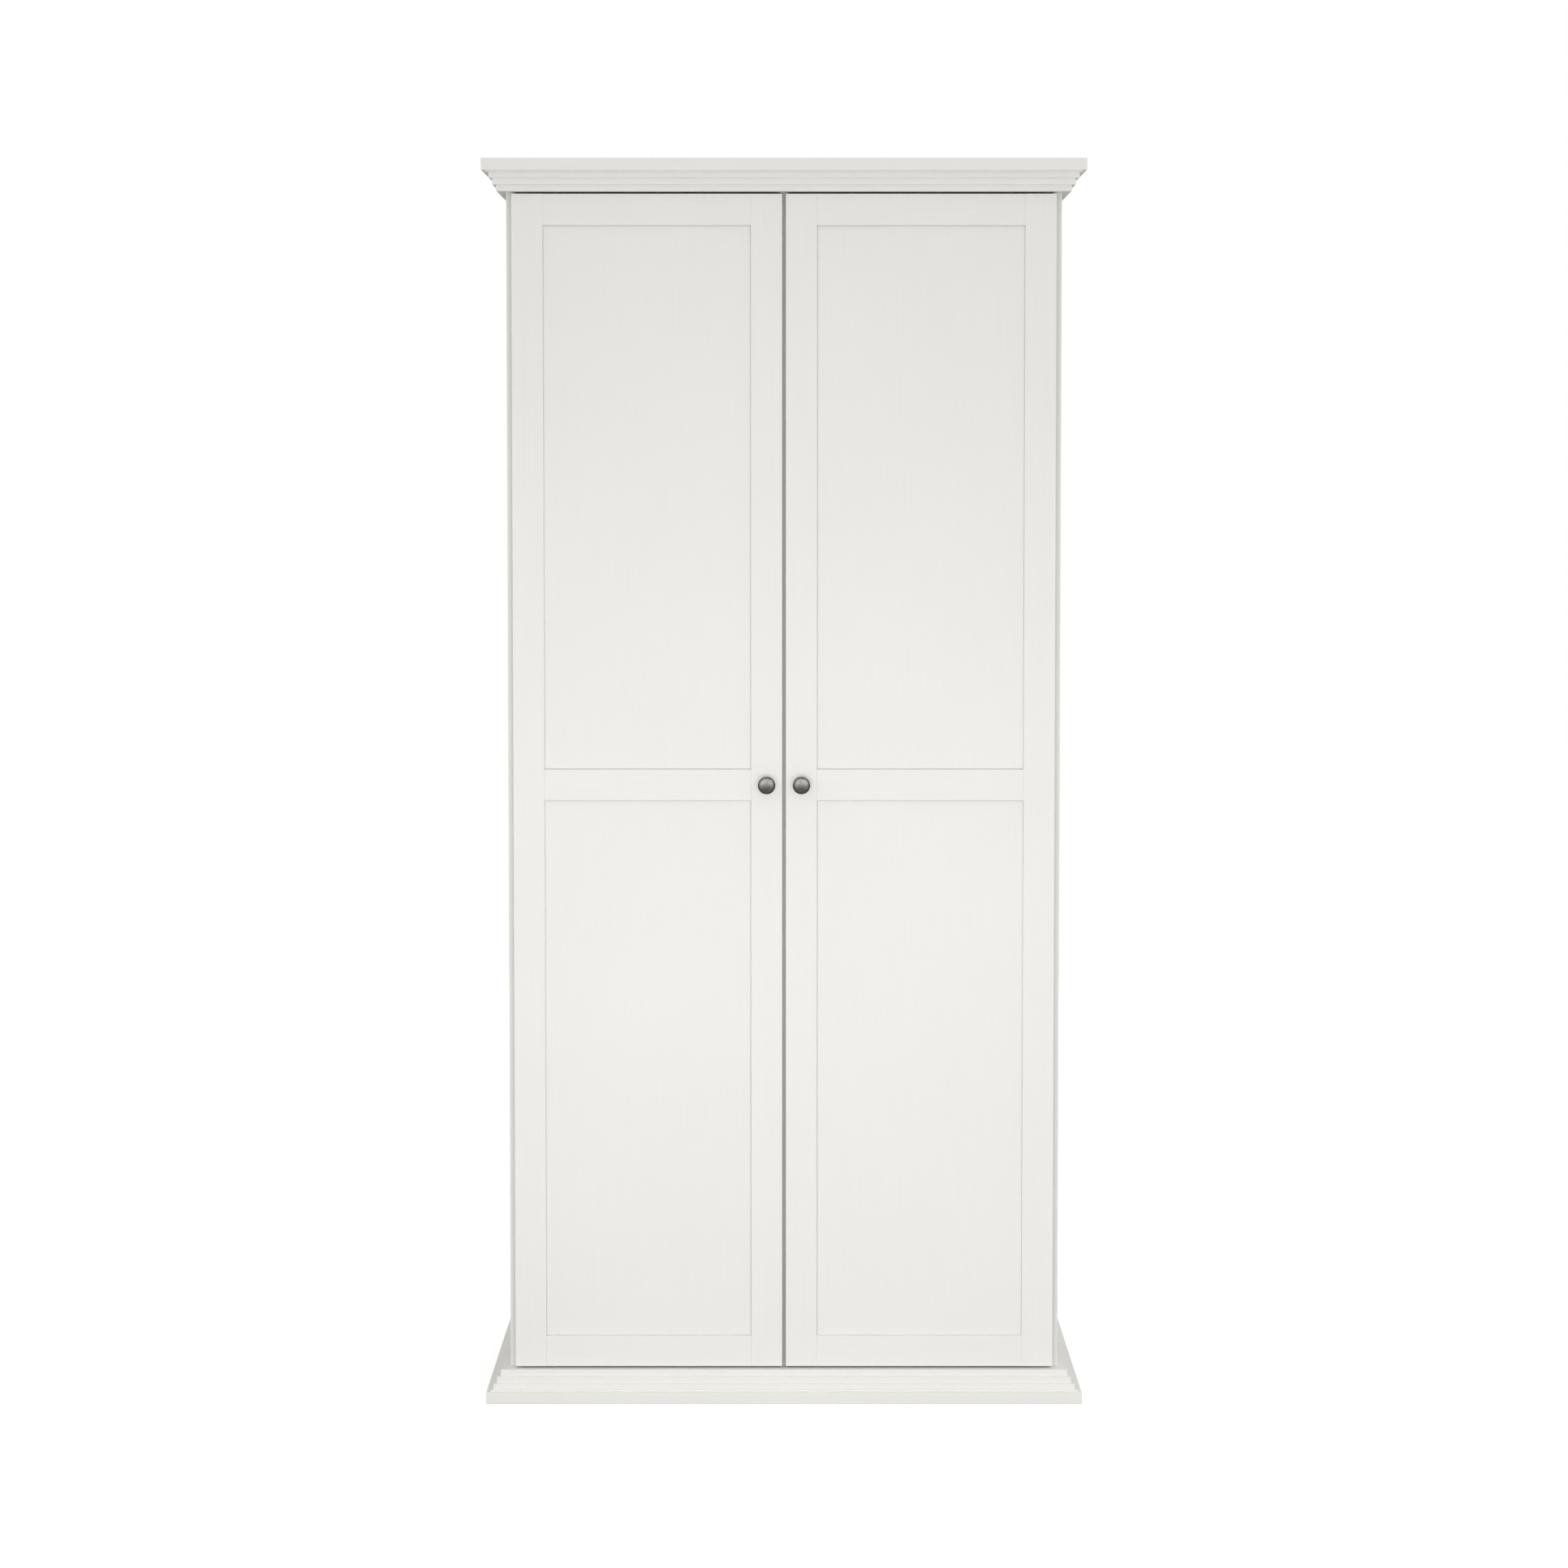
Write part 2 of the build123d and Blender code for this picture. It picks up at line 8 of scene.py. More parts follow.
import bmesh
import bpy
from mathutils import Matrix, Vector


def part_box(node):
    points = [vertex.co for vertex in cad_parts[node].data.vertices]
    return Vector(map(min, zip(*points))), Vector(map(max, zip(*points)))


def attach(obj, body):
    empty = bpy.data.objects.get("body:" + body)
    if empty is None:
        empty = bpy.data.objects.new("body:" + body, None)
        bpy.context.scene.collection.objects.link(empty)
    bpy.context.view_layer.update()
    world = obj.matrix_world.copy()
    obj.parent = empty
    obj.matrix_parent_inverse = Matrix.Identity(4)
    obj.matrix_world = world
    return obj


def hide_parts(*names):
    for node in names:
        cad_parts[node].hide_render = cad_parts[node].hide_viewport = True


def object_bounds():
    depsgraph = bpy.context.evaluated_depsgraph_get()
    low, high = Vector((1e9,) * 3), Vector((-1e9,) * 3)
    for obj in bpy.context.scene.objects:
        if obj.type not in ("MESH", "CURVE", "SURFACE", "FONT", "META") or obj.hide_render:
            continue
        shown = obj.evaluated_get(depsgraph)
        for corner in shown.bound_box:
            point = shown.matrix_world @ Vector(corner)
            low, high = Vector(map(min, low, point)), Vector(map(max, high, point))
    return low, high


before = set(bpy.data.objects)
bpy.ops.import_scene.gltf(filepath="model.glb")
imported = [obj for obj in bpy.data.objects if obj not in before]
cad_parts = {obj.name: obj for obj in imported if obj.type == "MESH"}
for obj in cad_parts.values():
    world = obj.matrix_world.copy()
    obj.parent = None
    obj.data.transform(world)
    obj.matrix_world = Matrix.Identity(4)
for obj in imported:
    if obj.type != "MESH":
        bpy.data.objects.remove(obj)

# A white two-door wardrobe with a stepped cornice and plinth, dressed over its construction model.
# Metres, in the model's own frame: X to the right, Y to the back, Z up, origin on the floor.

LOG = logging.getLogger("wardrobe")
CAD_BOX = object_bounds()
MM = 0.001

CARCASS = "carcass"
HINGE_HEIGHTS = (154 * MM, 1000 * MM, 1846 * MM)

# Corners nearer than this are one corner, and faces that meet flatter than this are one face.
MERGE_DISTANCE = 0.005 * MM
FLAT_ANGLE = math.radians(0.5)
# Edges sharper than this are rounded, and stay crisp in smooth shading.
SHARP_ANGLE = math.radians(30)
# A face looks to the back where its normal has at least this much of Y.
REAR_FACING = 0.9
# The exact solver leaves no open edges where two cutters share a plane.
SOLVER = "EXACT"

Pair = tuple[float, float]
Point = tuple[float, float, float]
Colour = tuple[float, float, float, float]


def linear(code: str) -> Colour:
    """Turn an sRGB hex colour into linear RGBA.

    Args:
        code: The colour as #RRGGBB.

    Returns:
        The linear colour, opaque.
    """
    shares = [int(code[place:place + 2], 16) / 255 for place in (1, 3, 5)]
    # The sRGB curve: straight for the darkest shares, and a power above them.
    red, green, blue = (s / 12.92 if s <= 0.04045 else ((s + 0.055) / 1.055) ** 2.4 for s in shares)
    return red, green, blue, 1.0


def add_node(
    tree: bpy.types.NodeTree, kind: str, inputs: dict[str | int, Any] | None = None, **settings: Any
) -> bpy.types.Node:
    """Add a node with its options, and set or link its inputs.

    Args:
        tree: The tree that gets the node.
        kind: The node's type.
        inputs: A value, or a socket to link from, for each input by name or number.
        settings: The node's own options.

    Returns:
        The new node.
    """
    node = tree.nodes.new(kind)
    for name, value in settings.items():
        setattr(node, name, value)
    for key, value in (inputs or {}).items():
        if isinstance(value, bpy.types.NodeSocket):
            tree.links.new(value, node.inputs[key])
        else:
            node.inputs[key].default_value = value
    return node


# A Mix node's sockets for colours go by number, because those for plain numbers have the same names.
MIX_SHARE = 0
MIX_FROM = 6
MIX_TO = 7
MIX_COLOUR = 2


class Side(Enum):
    """The two doors, with the sign of X on each side."""

    LEFT = -1
    RIGHT = 1

    @property
    def label(self) -> str:
        """The side's name as the model's nodes and bodies use it."""
        return self.name.lower()

    @property
    def body(self) -> str:
        """The body of the door on this side."""
        return f"{self.label}_door"


class Grain(Enum):
    """Which way a printed or sawn grain runs along a piece."""

    UPRIGHT = "upright"
    ACROSS = "across"
    DEEP = "deep"

    def scale(self, width: float, length: float) -> Point:
        """Find how much to scale each axis so that streaks come out that wide and that long.

        Args:
            width: Width of a streak, in metres.
            length: Length of a streak along the grain, in metres.

        Returns:
            The scale along X, Y and Z.
        """
        fine, coarse = 1 / width, 1 / length
        scales = {
            Grain.UPRIGHT: (fine, fine, coarse),
            Grain.ACROSS: (coarse, fine, fine),
            Grain.DEEP: (fine, coarse, fine),
        }
        return scales[self]


# Finishes


@dataclass(frozen=True)
class Finish:
    """A surface finish that is made into a material once, under its own name."""

    name: str

    def material(self) -> bpy.types.Material:
        """Find the finish's material, or make it on first use.

        Returns:
            The material.
        """
        found = bpy.data.materials.get(self.name)
        if found is not None:
            return found
        made = bpy.data.materials.new(self.name)
        made.use_nodes = True
        tree = made.node_tree
        tree.nodes.clear()
        where = add_node(tree, "ShaderNodeTexCoord").outputs["Object"]
        add_node(tree, "ShaderNodeOutputMaterial", {"Surface": self.surface(tree, where)})
        return made

    def surface(self, tree: bpy.types.NodeTree, where: bpy.types.NodeSocket) -> bpy.types.NodeSocket:
        """Build the finish's shader.

        Args:
            tree: The material's tree.
            where: Object coordinates, in metres.

        Returns:
            The shader's output.
        """
        raise NotImplementedError


@dataclass(frozen=True)
class FoilFinish(Finish):
    """White decor foil pressed on board: nearly even, satin, with a trace of printed grain and orange peel.

    The real pores are about 0.2 mm by 5 mm, too fine to show, so the streaks are drawn wider and longer.
    The colour is deep where streaks and mottle add up to 1 - contrast, and pale where they reach
    1 + contrast.
    """

    grain: Grain
    pale: str = "#eae9e5"
    deep: str = "#e7e6e2"
    contrast: float = 0.3
    streak_width: float = 2.5 * MM
    streak_length: float = 140 * MM
    mottle_size: float = 350 * MM
    peel_size: float = 1.6 * MM
    peel_depth: float = 0.012 * MM
    roughness: float = 0.42
    roughness_spread: float = 0.06
    ior: float = 1.5

    def surface(self, tree: bpy.types.NodeTree, where: bpy.types.NodeSocket) -> bpy.types.NodeSocket:
        """Build the foil's shader.

        Args:
            tree: The material's tree.
            where: Object coordinates, in metres.

        Returns:
            The shader's output.
        """
        scale = self.grain.scale(self.streak_width, self.streak_length)
        drawn = add_node(tree, "ShaderNodeMapping", {"Vector": where, "Scale": scale})
        streaks = add_node(
            tree, "ShaderNodeTexNoise", {"Vector": drawn.outputs["Vector"], "Scale": 1.0, "Detail": 3.0}
        )
        mottle = add_node(
            tree, "ShaderNodeTexNoise", {"Vector": where, "Scale": 1 / self.mottle_size, "Detail": 2.0}
        )
        both = add_node(
            tree, "ShaderNodeMath", {0: streaks.outputs["Fac"], 1: mottle.outputs["Fac"]}, operation="ADD"
        )
        share = add_node(
            tree,
            "ShaderNodeMapRange",
            {"Value": both.outputs[0], "From Min": 1 - self.contrast, "From Max": 1 + self.contrast},
        )
        colour = add_node(
            tree,
            "ShaderNodeMix",
            {MIX_SHARE: share.outputs["Result"], MIX_FROM: linear(self.deep), MIX_TO: linear(self.pale)},
            data_type="RGBA",
        )
        peel = add_node(
            tree, "ShaderNodeTexNoise", {"Vector": where, "Scale": 1 / self.peel_size, "Detail": 1.0}
        )
        satin = add_node(
            tree,
            "ShaderNodeMapRange",
            {
                "Value": streaks.outputs["Fac"],
                "To Min": self.roughness - self.roughness_spread,
                "To Max": self.roughness + self.roughness_spread,
            },
        )
        bump = add_node(
            tree, "ShaderNodeBump", {"Height": peel.outputs["Fac"], "Distance": self.peel_depth}
        )
        shader = add_node(
            tree,
            "ShaderNodeBsdfPrincipled",
            {
                "Base Color": colour.outputs[MIX_COLOUR],
                "Roughness": satin.outputs["Result"],
                "Normal": bump.outputs["Normal"],
                "IOR": self.ior,
            },
        )
        return shader.outputs["BSDF"]


@dataclass(frozen=True)
class CoreFinish(Finish):
    """Bare wood fibre or chips, as on a sawn board edge or the rough face of a hardboard sheet.

    Chips show at their real size. Real fibres are about 0.2 mm wide, too fine to show, so they are drawn
    coarser.
    """

    chip: str
    glue: str
    chip_size: float
    fleck_depth: float
    chips_in_cloud: float = 10.0
    roughness: float = 0.85
    roughness_spread: float = 0.06

    def surface(self, tree: bpy.types.NodeTree, where: bpy.types.NodeSocket) -> bpy.types.NodeSocket:
        """Build the core's shader.

        Args:
            tree: The material's tree.
            where: Object coordinates, in metres.

        Returns:
            The shader's output.
        """
        chips = add_node(tree, "ShaderNodeTexVoronoi", {"Vector": where, "Scale": 1 / self.chip_size})
        cloud_size = self.chips_in_cloud * self.chip_size
        cloud = add_node(
            tree, "ShaderNodeTexNoise", {"Vector": where, "Scale": 1 / cloud_size, "Detail": 4.0}
        )
        tone = add_node(
            tree,
            "ShaderNodeMath",
            {0: chips.outputs["Color"], 1: cloud.outputs["Fac"]},
            operation="MULTIPLY",
        )
        colour = add_node(
            tree,
            "ShaderNodeMix",
            {MIX_SHARE: tone.outputs[0], MIX_FROM: linear(self.glue), MIX_TO: linear(self.chip)},
            data_type="RGBA",
        )
        # Pressed flakes are a little smoother than the glue between them.
        sawn = add_node(
            tree,
            "ShaderNodeMapRange",
            {
                "Value": tone.outputs[0],
                "To Min": self.roughness + self.roughness_spread,
                "To Max": self.roughness - self.roughness_spread,
            },
        )
        bump = add_node(
            tree, "ShaderNodeBump", {"Height": chips.outputs["Distance"], "Distance": self.fleck_depth}
        )
        shader = add_node(
            tree,
            "ShaderNodeBsdfPrincipled",
            {
                "Base Color": colour.outputs[MIX_COLOUR],
                "Roughness": sawn.outputs["Result"],
                "Normal": bump.outputs["Normal"],
            },
        )
        return shader.outputs["BSDF"]


@dataclass(frozen=True)
class PlatedFinish(Finish):
    """Plated or die-cast metal: even in colour, with faint rolling marks that blur its reflections.

    Real marks are a few hundredths of a millimetre wide, too fine to show, so they are drawn coarser.
    """

    bright: str
    dull: str
    roughness: float
    roughness_spread: float
    mark_width: float = 0.6 * MM
    mark_length: float = 12 * MM
    mark_depth: float = 0.006 * MM
    grain: Grain = Grain.UPRIGHT

    def surface(self, tree: bpy.types.NodeTree, where: bpy.types.NodeSocket) -> bpy.types.NodeSocket:
        """Build the metal's shader.

        Args:
            tree: The material's tree.
            where: Object coordinates, in metres.

        Returns:
            The shader's output.
        """
        scale = self.grain.scale(self.mark_width, self.mark_length)
        drawn = add_node(tree, "ShaderNodeMapping", {"Vector": where, "Scale": scale})
        marks = add_node(
            tree, "ShaderNodeTexNoise", {"Vector": drawn.outputs["Vector"], "Scale": 1.0, "Detail": 3.0}
        )
        colour = add_node(
            tree,
            "ShaderNodeMix",
            {MIX_SHARE: marks.outputs["Fac"], MIX_FROM: linear(self.dull), MIX_TO: linear(self.bright)},
            data_type="RGBA",
        )
        blur = add_node(
            tree,
            "ShaderNodeMapRange",
            {
                "Value": marks.outputs["Fac"],
                "To Min": self.roughness + self.roughness_spread,
                "To Max": self.roughness - self.roughness_spread,
            },
        )
        bump = add_node(
            tree, "ShaderNodeBump", {"Height": marks.outputs["Fac"], "Distance": self.mark_depth}
        )
        shader = add_node(
            tree,
            "ShaderNodeBsdfPrincipled",
            {
                "Base Color": colour.outputs[MIX_COLOUR],
                "Metallic": 1.0,
                "Roughness": blur.outputs["Result"],
                "Normal": bump.outputs["Normal"],
            },
        )
        return shader.outputs["BSDF"]


@dataclass(frozen=True)
class PewterFinish(Finish):
    """Cast pewter: a soft mottled sheen, fine turning rings, and a rim darkened by patina and painted
    shade.

    The knob's axis runs along Y through its centre, so the rings, the patina and the painted rim shade
    follow the distance from that axis. Real turning marks are about 0.1 mm apart, so the rings are drawn
    coarser.
    """

    centre: Point
    radius: float
    bright: str = "#d6d5d2"
    dark: str = "#787775"
    ring_width: float = 0.5 * MM
    ring_depth: float = 0.01 * MM
    mottle_size: float = 3.5 * MM
    mottle_depth: float = 0.1 * MM
    polish: float = 0.25
    patina: float = 1.0
    patina_start: float = 0.66
    roughness: float = 0.56
    roughness_spread: float = 0.06

    def surface(self, tree: bpy.types.NodeTree, where: bpy.types.NodeSocket) -> bpy.types.NodeSocket:
        """Build the pewter's shader.

        Args:
            tree: The material's tree.
            where: Object coordinates, in metres.

        Returns:
            The shader's output.
        """
        across, _, up = self.centre
        flat = add_node(
            tree, "ShaderNodeMapping", {"Vector": where, "Location": (-across, 0, -up), "Scale": (1, 0, 1)}
        )
        reach = add_node(
            tree, "ShaderNodeVectorMath", {0: flat.outputs["Vector"]}, operation="LENGTH"
        ).outputs["Value"]
        rings = add_node(
            tree, "ShaderNodeTexNoise", {"W": reach, "Scale": 1 / self.ring_width}, noise_dimensions="1D"
        )
        mottle = add_node(
            tree, "ShaderNodeTexNoise", {"Vector": where, "Scale": 1 / self.mottle_size, "Detail": 4.0}
        )
        # Handling polishes the crown a little. The colour darkens towards the rim, partly as patina and
        # partly as painted shade for the rim's dark outline.
        polish_and_rim_shade = add_node(
            tree,
            "ShaderNodeMapRange",
            {
                "Value": reach,
                "From Min": self.patina_start * self.radius,
                "From Max": self.radius,
                "To Min": self.polish,
                "To Max": self.polish - self.patina,
            },
        )
        share = add_node(
            tree,
            "ShaderNodeMath",
            {0: mottle.outputs["Fac"], 1: polish_and_rim_shade.outputs["Result"]},
            operation="ADD",
            use_clamp=True,
        )
        colour = add_node(
            tree,
            "ShaderNodeMix",
            {MIX_SHARE: share.outputs[0], MIX_FROM: linear(self.dark), MIX_TO: linear(self.bright)},
            data_type="RGBA",
        )
        blur = add_node(
            tree,
            "ShaderNodeMapRange",
            {
                "Value": mottle.outputs["Fac"],
                "To Min": self.roughness - self.roughness_spread,
                "To Max": self.roughness + self.roughness_spread,
            },
        )
        cast = add_node(
            tree, "ShaderNodeBump", {"Height": mottle.outputs["Fac"], "Distance": self.mottle_depth}
        )
        turned = add_node(
            tree,
            "ShaderNodeBump",
            {
                "Height": rings.outputs["Fac"],
                "Distance": self.ring_depth,
                "Normal": cast.outputs["Normal"],
            },
        )
        shader = add_node(
            tree,
            "ShaderNodeBsdfPrincipled",
            {
                "Base Color": colour.outputs[MIX_COLOUR],
                "Metallic": 1.0,
                "Roughness": blur.outputs["Result"],
                "Normal": turned.outputs["Normal"],
            },
        )
        return shader.outputs["BSDF"]


@dataclass(frozen=True)
class BeechFinish(Finish):
    """Beech dowel rod: pale pinkish brown with short dark flecks along the grain."""

    pale: str = "#d8b48a"
    fleck: str = "#a87c54"
    fleck_width: float = 0.8 * MM
    fleck_length: float = 6 * MM
    fleck_depth: float = 0.02 * MM
    roughness: float = 0.6
    roughness_spread: float = 0.05

    def surface(self, tree: bpy.types.NodeTree, where: bpy.types.NodeSocket) -> bpy.types.NodeSocket:
        """Build the beech's shader.

        Args:
            tree: The material's tree.
            where: Object coordinates, in metres.

        Returns:
            The shader's output.
        """
        scale = Grain.UPRIGHT.scale(self.fleck_width, self.fleck_length)
        drawn = add_node(tree, "ShaderNodeMapping", {"Vector": where, "Scale": scale})
        flecks = add_node(
            tree, "ShaderNodeTexNoise", {"Vector": drawn.outputs["Vector"], "Scale": 1.0, "Detail": 2.0}
        )
        colour = add_node(
            tree,
            "ShaderNodeMix",
            {MIX_SHARE: flecks.outputs["Fac"], MIX_FROM: linear(self.fleck), MIX_TO: linear(self.pale)},
            data_type="RGBA",
        )
        sawn = add_node(
            tree,
            "ShaderNodeMapRange",
            {
                "Value": flecks.outputs["Fac"],
                "To Min": self.roughness + self.roughness_spread,
                "To Max": self.roughness - self.roughness_spread,
            },
        )
        bump = add_node(
            tree, "ShaderNodeBump", {"Height": flecks.outputs["Fac"], "Distance": self.fleck_depth}
        )
        shader = add_node(
            tree,
            "ShaderNodeBsdfPrincipled",
            {
                "Base Color": colour.outputs[MIX_COLOUR],
                "Roughness": sawn.outputs["Result"],
                "Normal": bump.outputs["Normal"],
            },
        )
        return shader.outputs["BSDF"]


# Printed foil, pressed flat and sealed: an even warm white with a satin sheen, whose grain is only a breath
# of streaks along each board.
UPRIGHT_FOIL = FoilFinish("white_foil_upright", Grain.UPRIGHT)
ACROSS_FOIL = FoilFinish("white_foil_across", Grain.ACROSS)
DEEP_FOIL = FoilFinish("white_foil_deep", Grain.DEEP)
# Lacquer rolled thinly on hardboard: the same white, but duller, with a short soft texture.
BACK_LACQUER = FoilFinish(
    "white_lacquered_hardboard", Grain.UPRIGHT, streak_width=6 * MM, streak_length=12 * MM, roughness=0.55
)
# Wet-pressed hardboard: a dull brown felt, nearly even.
BARE_HARDBOARD = CoreFinish("bare_hardboard", "#a58a68", "#8b7050", 1.2 * MM, 0.05 * MM)
# Sawn chipboard: pale flakes in darker glue, rough to the touch.
BARE_CHIPBOARD = CoreFinish("bare_chipboard", "#cbb08a", "#9d8360", 3.0 * MM, 0.15 * MM)
# Sawn fibreboard: a smooth tan with hardly any figure.
BARE_FIBREBOARD = CoreFinish("bare_fibreboard", "#b79a74", "#a28762", 0.8 * MM, 0.02 * MM)
# Nickel over pressed steel: bright, a little warm, with soft-edged reflections.
NICKEL = PlatedFinish("nickel_plated_steel", "#cdcac4", "#c1beb7", 0.25, 0.04, mark_depth=0.003 * MM)
# Zinc over rolled steel: cooler and greyer than nickel, and clouded.
ZINC = PlatedFinish("zinc_plated_steel", "#bfc1c2", "#a9acae", 0.36, 0.07)
# Zinc cast in a die: a matt grey skin with a fine even grain.
CAST_ZINC = PlatedFinish("die_cast_zinc", "#a9a8a5", "#94938f", 0.46, 0.06, 1.5 * MM, 1.5 * MM)
# Chrome over drawn tube: almost a mirror, with faint lines along the rail.
CHROME = PlatedFinish(
    "chromed_steel_tube", "#dcdedf", "#d2d4d6", 0.10, 0.03, 0.4 * MM, 60 * MM, grain=Grain.ACROSS
)
# Beech rod cut to dowels: a warm pale wood with short dark flecks along its length.
BEECH = BeechFinish("beech_dowel_rod")


# Meshes


def merged_copy(node: str) -> bmesh.types.BMesh:
    """Copy a node's mesh with its corners merged and its flat faces joined up.

    Args:
        node: Name of the model's node.

    Returns:
        The working mesh.
    """
    work = bmesh.new()
    work.from_mesh(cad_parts[node].data)
    bmesh.ops.remove_doubles(work, verts=work.verts, dist=MERGE_DISTANCE)
    bmesh.ops.dissolve_limit(work, angle_limit=FLAT_ANGLE, verts=work.verts, edges=work.edges)
    return work


@dataclass(frozen=True)
class Rounding:
    """How the sharp edges of a piece are rounded; edges shorter than the shortest stay as they are."""

    width: float
    steps: int
    shortest: float

    def rounded_copy(self, node: str) -> bmesh.types.BMesh:
        """Copy a node's mesh and round its sharp edges.

        Args:
            node: Name of the model's node.

        Returns:
            The working mesh.
        """
        work = merged_copy(node)
        sharp = [
            edge
            for edge in work.edges
            if edge.calc_face_angle(0.0) > SHARP_ANGLE and edge.calc_length() > self.shortest
        ]
        bmesh.ops.bevel(
            work,
            geom=sharp,
            offset=self.width,
            offset_type="OFFSET",
            segments=self.steps,
            profile=0.5,
            affect="EDGES",
            clamp_overlap=True,
        )
        return work


def as_mesh(name: str, work: bmesh.types.BMesh, smooth: bool) -> bpy.types.Mesh:
    """Turn a working mesh into a mesh.

    Args:
        name: The mesh's name.
        work: The working mesh, which is freed.
        smooth: Whether faces that meet at a small angle are shaded as one.

    Returns:
        The mesh.
    """
    mesh = bpy.data.meshes.new(name)
    work.to_mesh(mesh)
    work.free()
    if smooth:
        mesh.shade_smooth()
        mesh.set_sharp_from_angle(angle=SHARP_ANGLE)
    return mesh


def lathe(outline: Sequence[Pair], sides: int, foot: Point) -> bmesh.types.BMesh:
    """Turn an outline round an axis that leaves a door's front face.

    Args:
        outline: Radius and distance from the face, from the foot's centre to the crown. Both ends are on
            the axis.
        sides: Faces round the axis.
        foot: Where the axis meets the face.

    Returns:
        The closed working mesh.
    """
    work = bmesh.new()
    x, y, z = foot
    angles = [2 * math.pi * step / sides for step in range(sides)]
    start = work.verts.new((x, y - outline[0][1], z))
    crown = work.verts.new((x, y - outline[-1][1], z))
    rings = [
        [work.verts.new((x + r * math.cos(a), y - out, z + r * math.sin(a))) for a in angles]
        for r, out in outline[1:-1]
    ]
    for step in range(sides):
        after = (step + 1) % sides
        work.faces.new((start, rings[0][step], rings[0][after]))
        work.faces.new((crown, rings[-1][after], rings[-1][step]))
        for low, high in zip(rings, rings[1:]):
            work.faces.new((low[step], high[step], high[after], low[after]))
    bmesh.ops.recalc_face_normals(work, faces=work.faces)
    return work


def stepped_plate(steps: Sequence[tuple[tuple[float, float, float, float], float]]) -> bmesh.types.BMesh:
    """Build a plate from upright rectangles that lead from its back to the middle of its front.

    Args:
        steps: Each rectangle as left, low, right and high, and the Y that it lies at.

    Returns:
        The closed working mesh.
    """
    work = bmesh.new()
    loops = [
        [work.verts.new((x, y, z)) for x, z in ((left, low), (right, low), (right, high), (left, high))]
        for (left, low, right, high), y in steps
    ]
    work.faces.new(loops[0])
    work.faces.new(loops[-1])
    for near, far in zip(loops, loops[1:]):
        for corner in range(4):
            after = (corner + 1) % 4
            work.faces.new((near[corner], near[after], far[after], far[corner]))
    bmesh.ops.recalc_face_normals(work, faces=work.faces)
    return work


def bend(start: Pair, pull: Pair, end: Pair, steps: int) -> list[Pair]:
    """Find points along a curve that leaves its start towards a pull point, and reaches its end from there.

    Args:
        start: First point.
        pull: The point that the curve leans to.
        end: Last point.
        steps: Number of points.

    Returns:
        The points after the start.
    """
    points: list[Pair] = []
    for step in range(1, steps + 1):
        t = step / steps
        near, middle, far = (1 - t) ** 2, 2 * t * (1 - t), t**2
        across, out = (near * a + middle * b + far * c for a, b, c in zip(start, pull, end))
        points.append((across, out))
    return points


def add_piece(
    name: str,
    mesh: bpy.types.Mesh,
    body: str,
    finishes: Sequence[Finish] = (),
    stands_for: Sequence[str] = (),
) -> bpy.types.Object:
    """Make a finished piece that rides on a body.

    Args:
        name: The piece's name.
        mesh: Its mesh, in the model's frame.
        body: The body that it moves with.
        finishes: Its finishes, in the order of the mesh's material numbers.
        stands_for: The model's nodes that it replaces.

    Returns:
        The piece's object.
    """
    obj = bpy.data.objects.new(name, mesh)
    bpy.context.scene.collection.objects.link(obj)
    for finish in finishes:
        mesh.materials.append(finish.material())
    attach(obj, body)
    if stands_for:
        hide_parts(*stands_for)
    LOG.info("%s on %s, %d faces", name, body, len(mesh.polygons))
    return obj


def dress(node: str, finish: Finish) -> None:
    """Give one of the model's own nodes its finish.

    Args:
        node: Name of the node, whose shape stays as it is.
        finish: Its finish.
    """
    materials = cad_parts[node].data.materials
    materials.clear()
    materials.append(finish.material())
    LOG.info("%s stays and is finished as %s", node, finish.name)


# Geometry node trees


def start_tree(name: str, sockets: dict[str, str]) -> tuple[bpy.types.NodeTree, bpy.types.NodeOutputs]:
    """Begin a geometry tree that takes a mesh and named sizes, and gives a mesh.

    Args:
        name: The tree's name.
        sockets: Socket type of each named input.

    Returns:
        The tree and its input node's outputs.
    """
    tree = bpy.data.node_groups.new(name, "GeometryNodeTree")
    tree.interface.new_socket("Geometry", in_out="INPUT", socket_type="NodeSocketGeometry")
    for label, kind in sockets.items():
        tree.interface.new_socket(label, in_out="INPUT", socket_type=kind)
    tree.interface.new_socket("Geometry", in_out="OUTPUT", socket_type="NodeSocketGeometry")
    return tree, add_node(tree, "NodeGroupInput").outputs


def end_tree(
    tree: bpy.types.NodeTree,
    shape: bpy.types.NodeSocket,
    *finishes: tuple[Finish, bool | bpy.types.NodeSocket],
) -> None:
    """Close a geometry tree: make its instances real, and give its faces their materials.

    Args:
        tree: The tree.
        shape: The geometry to give out.
        finishes: Each finish, and which faces take it: True for all of them, or a socket that picks some.
    """
    real = add_node(tree, "GeometryNodeRealizeInstances", {"Geometry": shape}).outputs["Geometry"]
    for finish, faces in finishes:
        inputs = {"Geometry": real, "Selection": faces, "Material": finish.material()}
        real = add_node(tree, "GeometryNodeSetMaterial", inputs).outputs["Geometry"]
    add_node(tree, "NodeGroupOutput", {"Geometry": real})


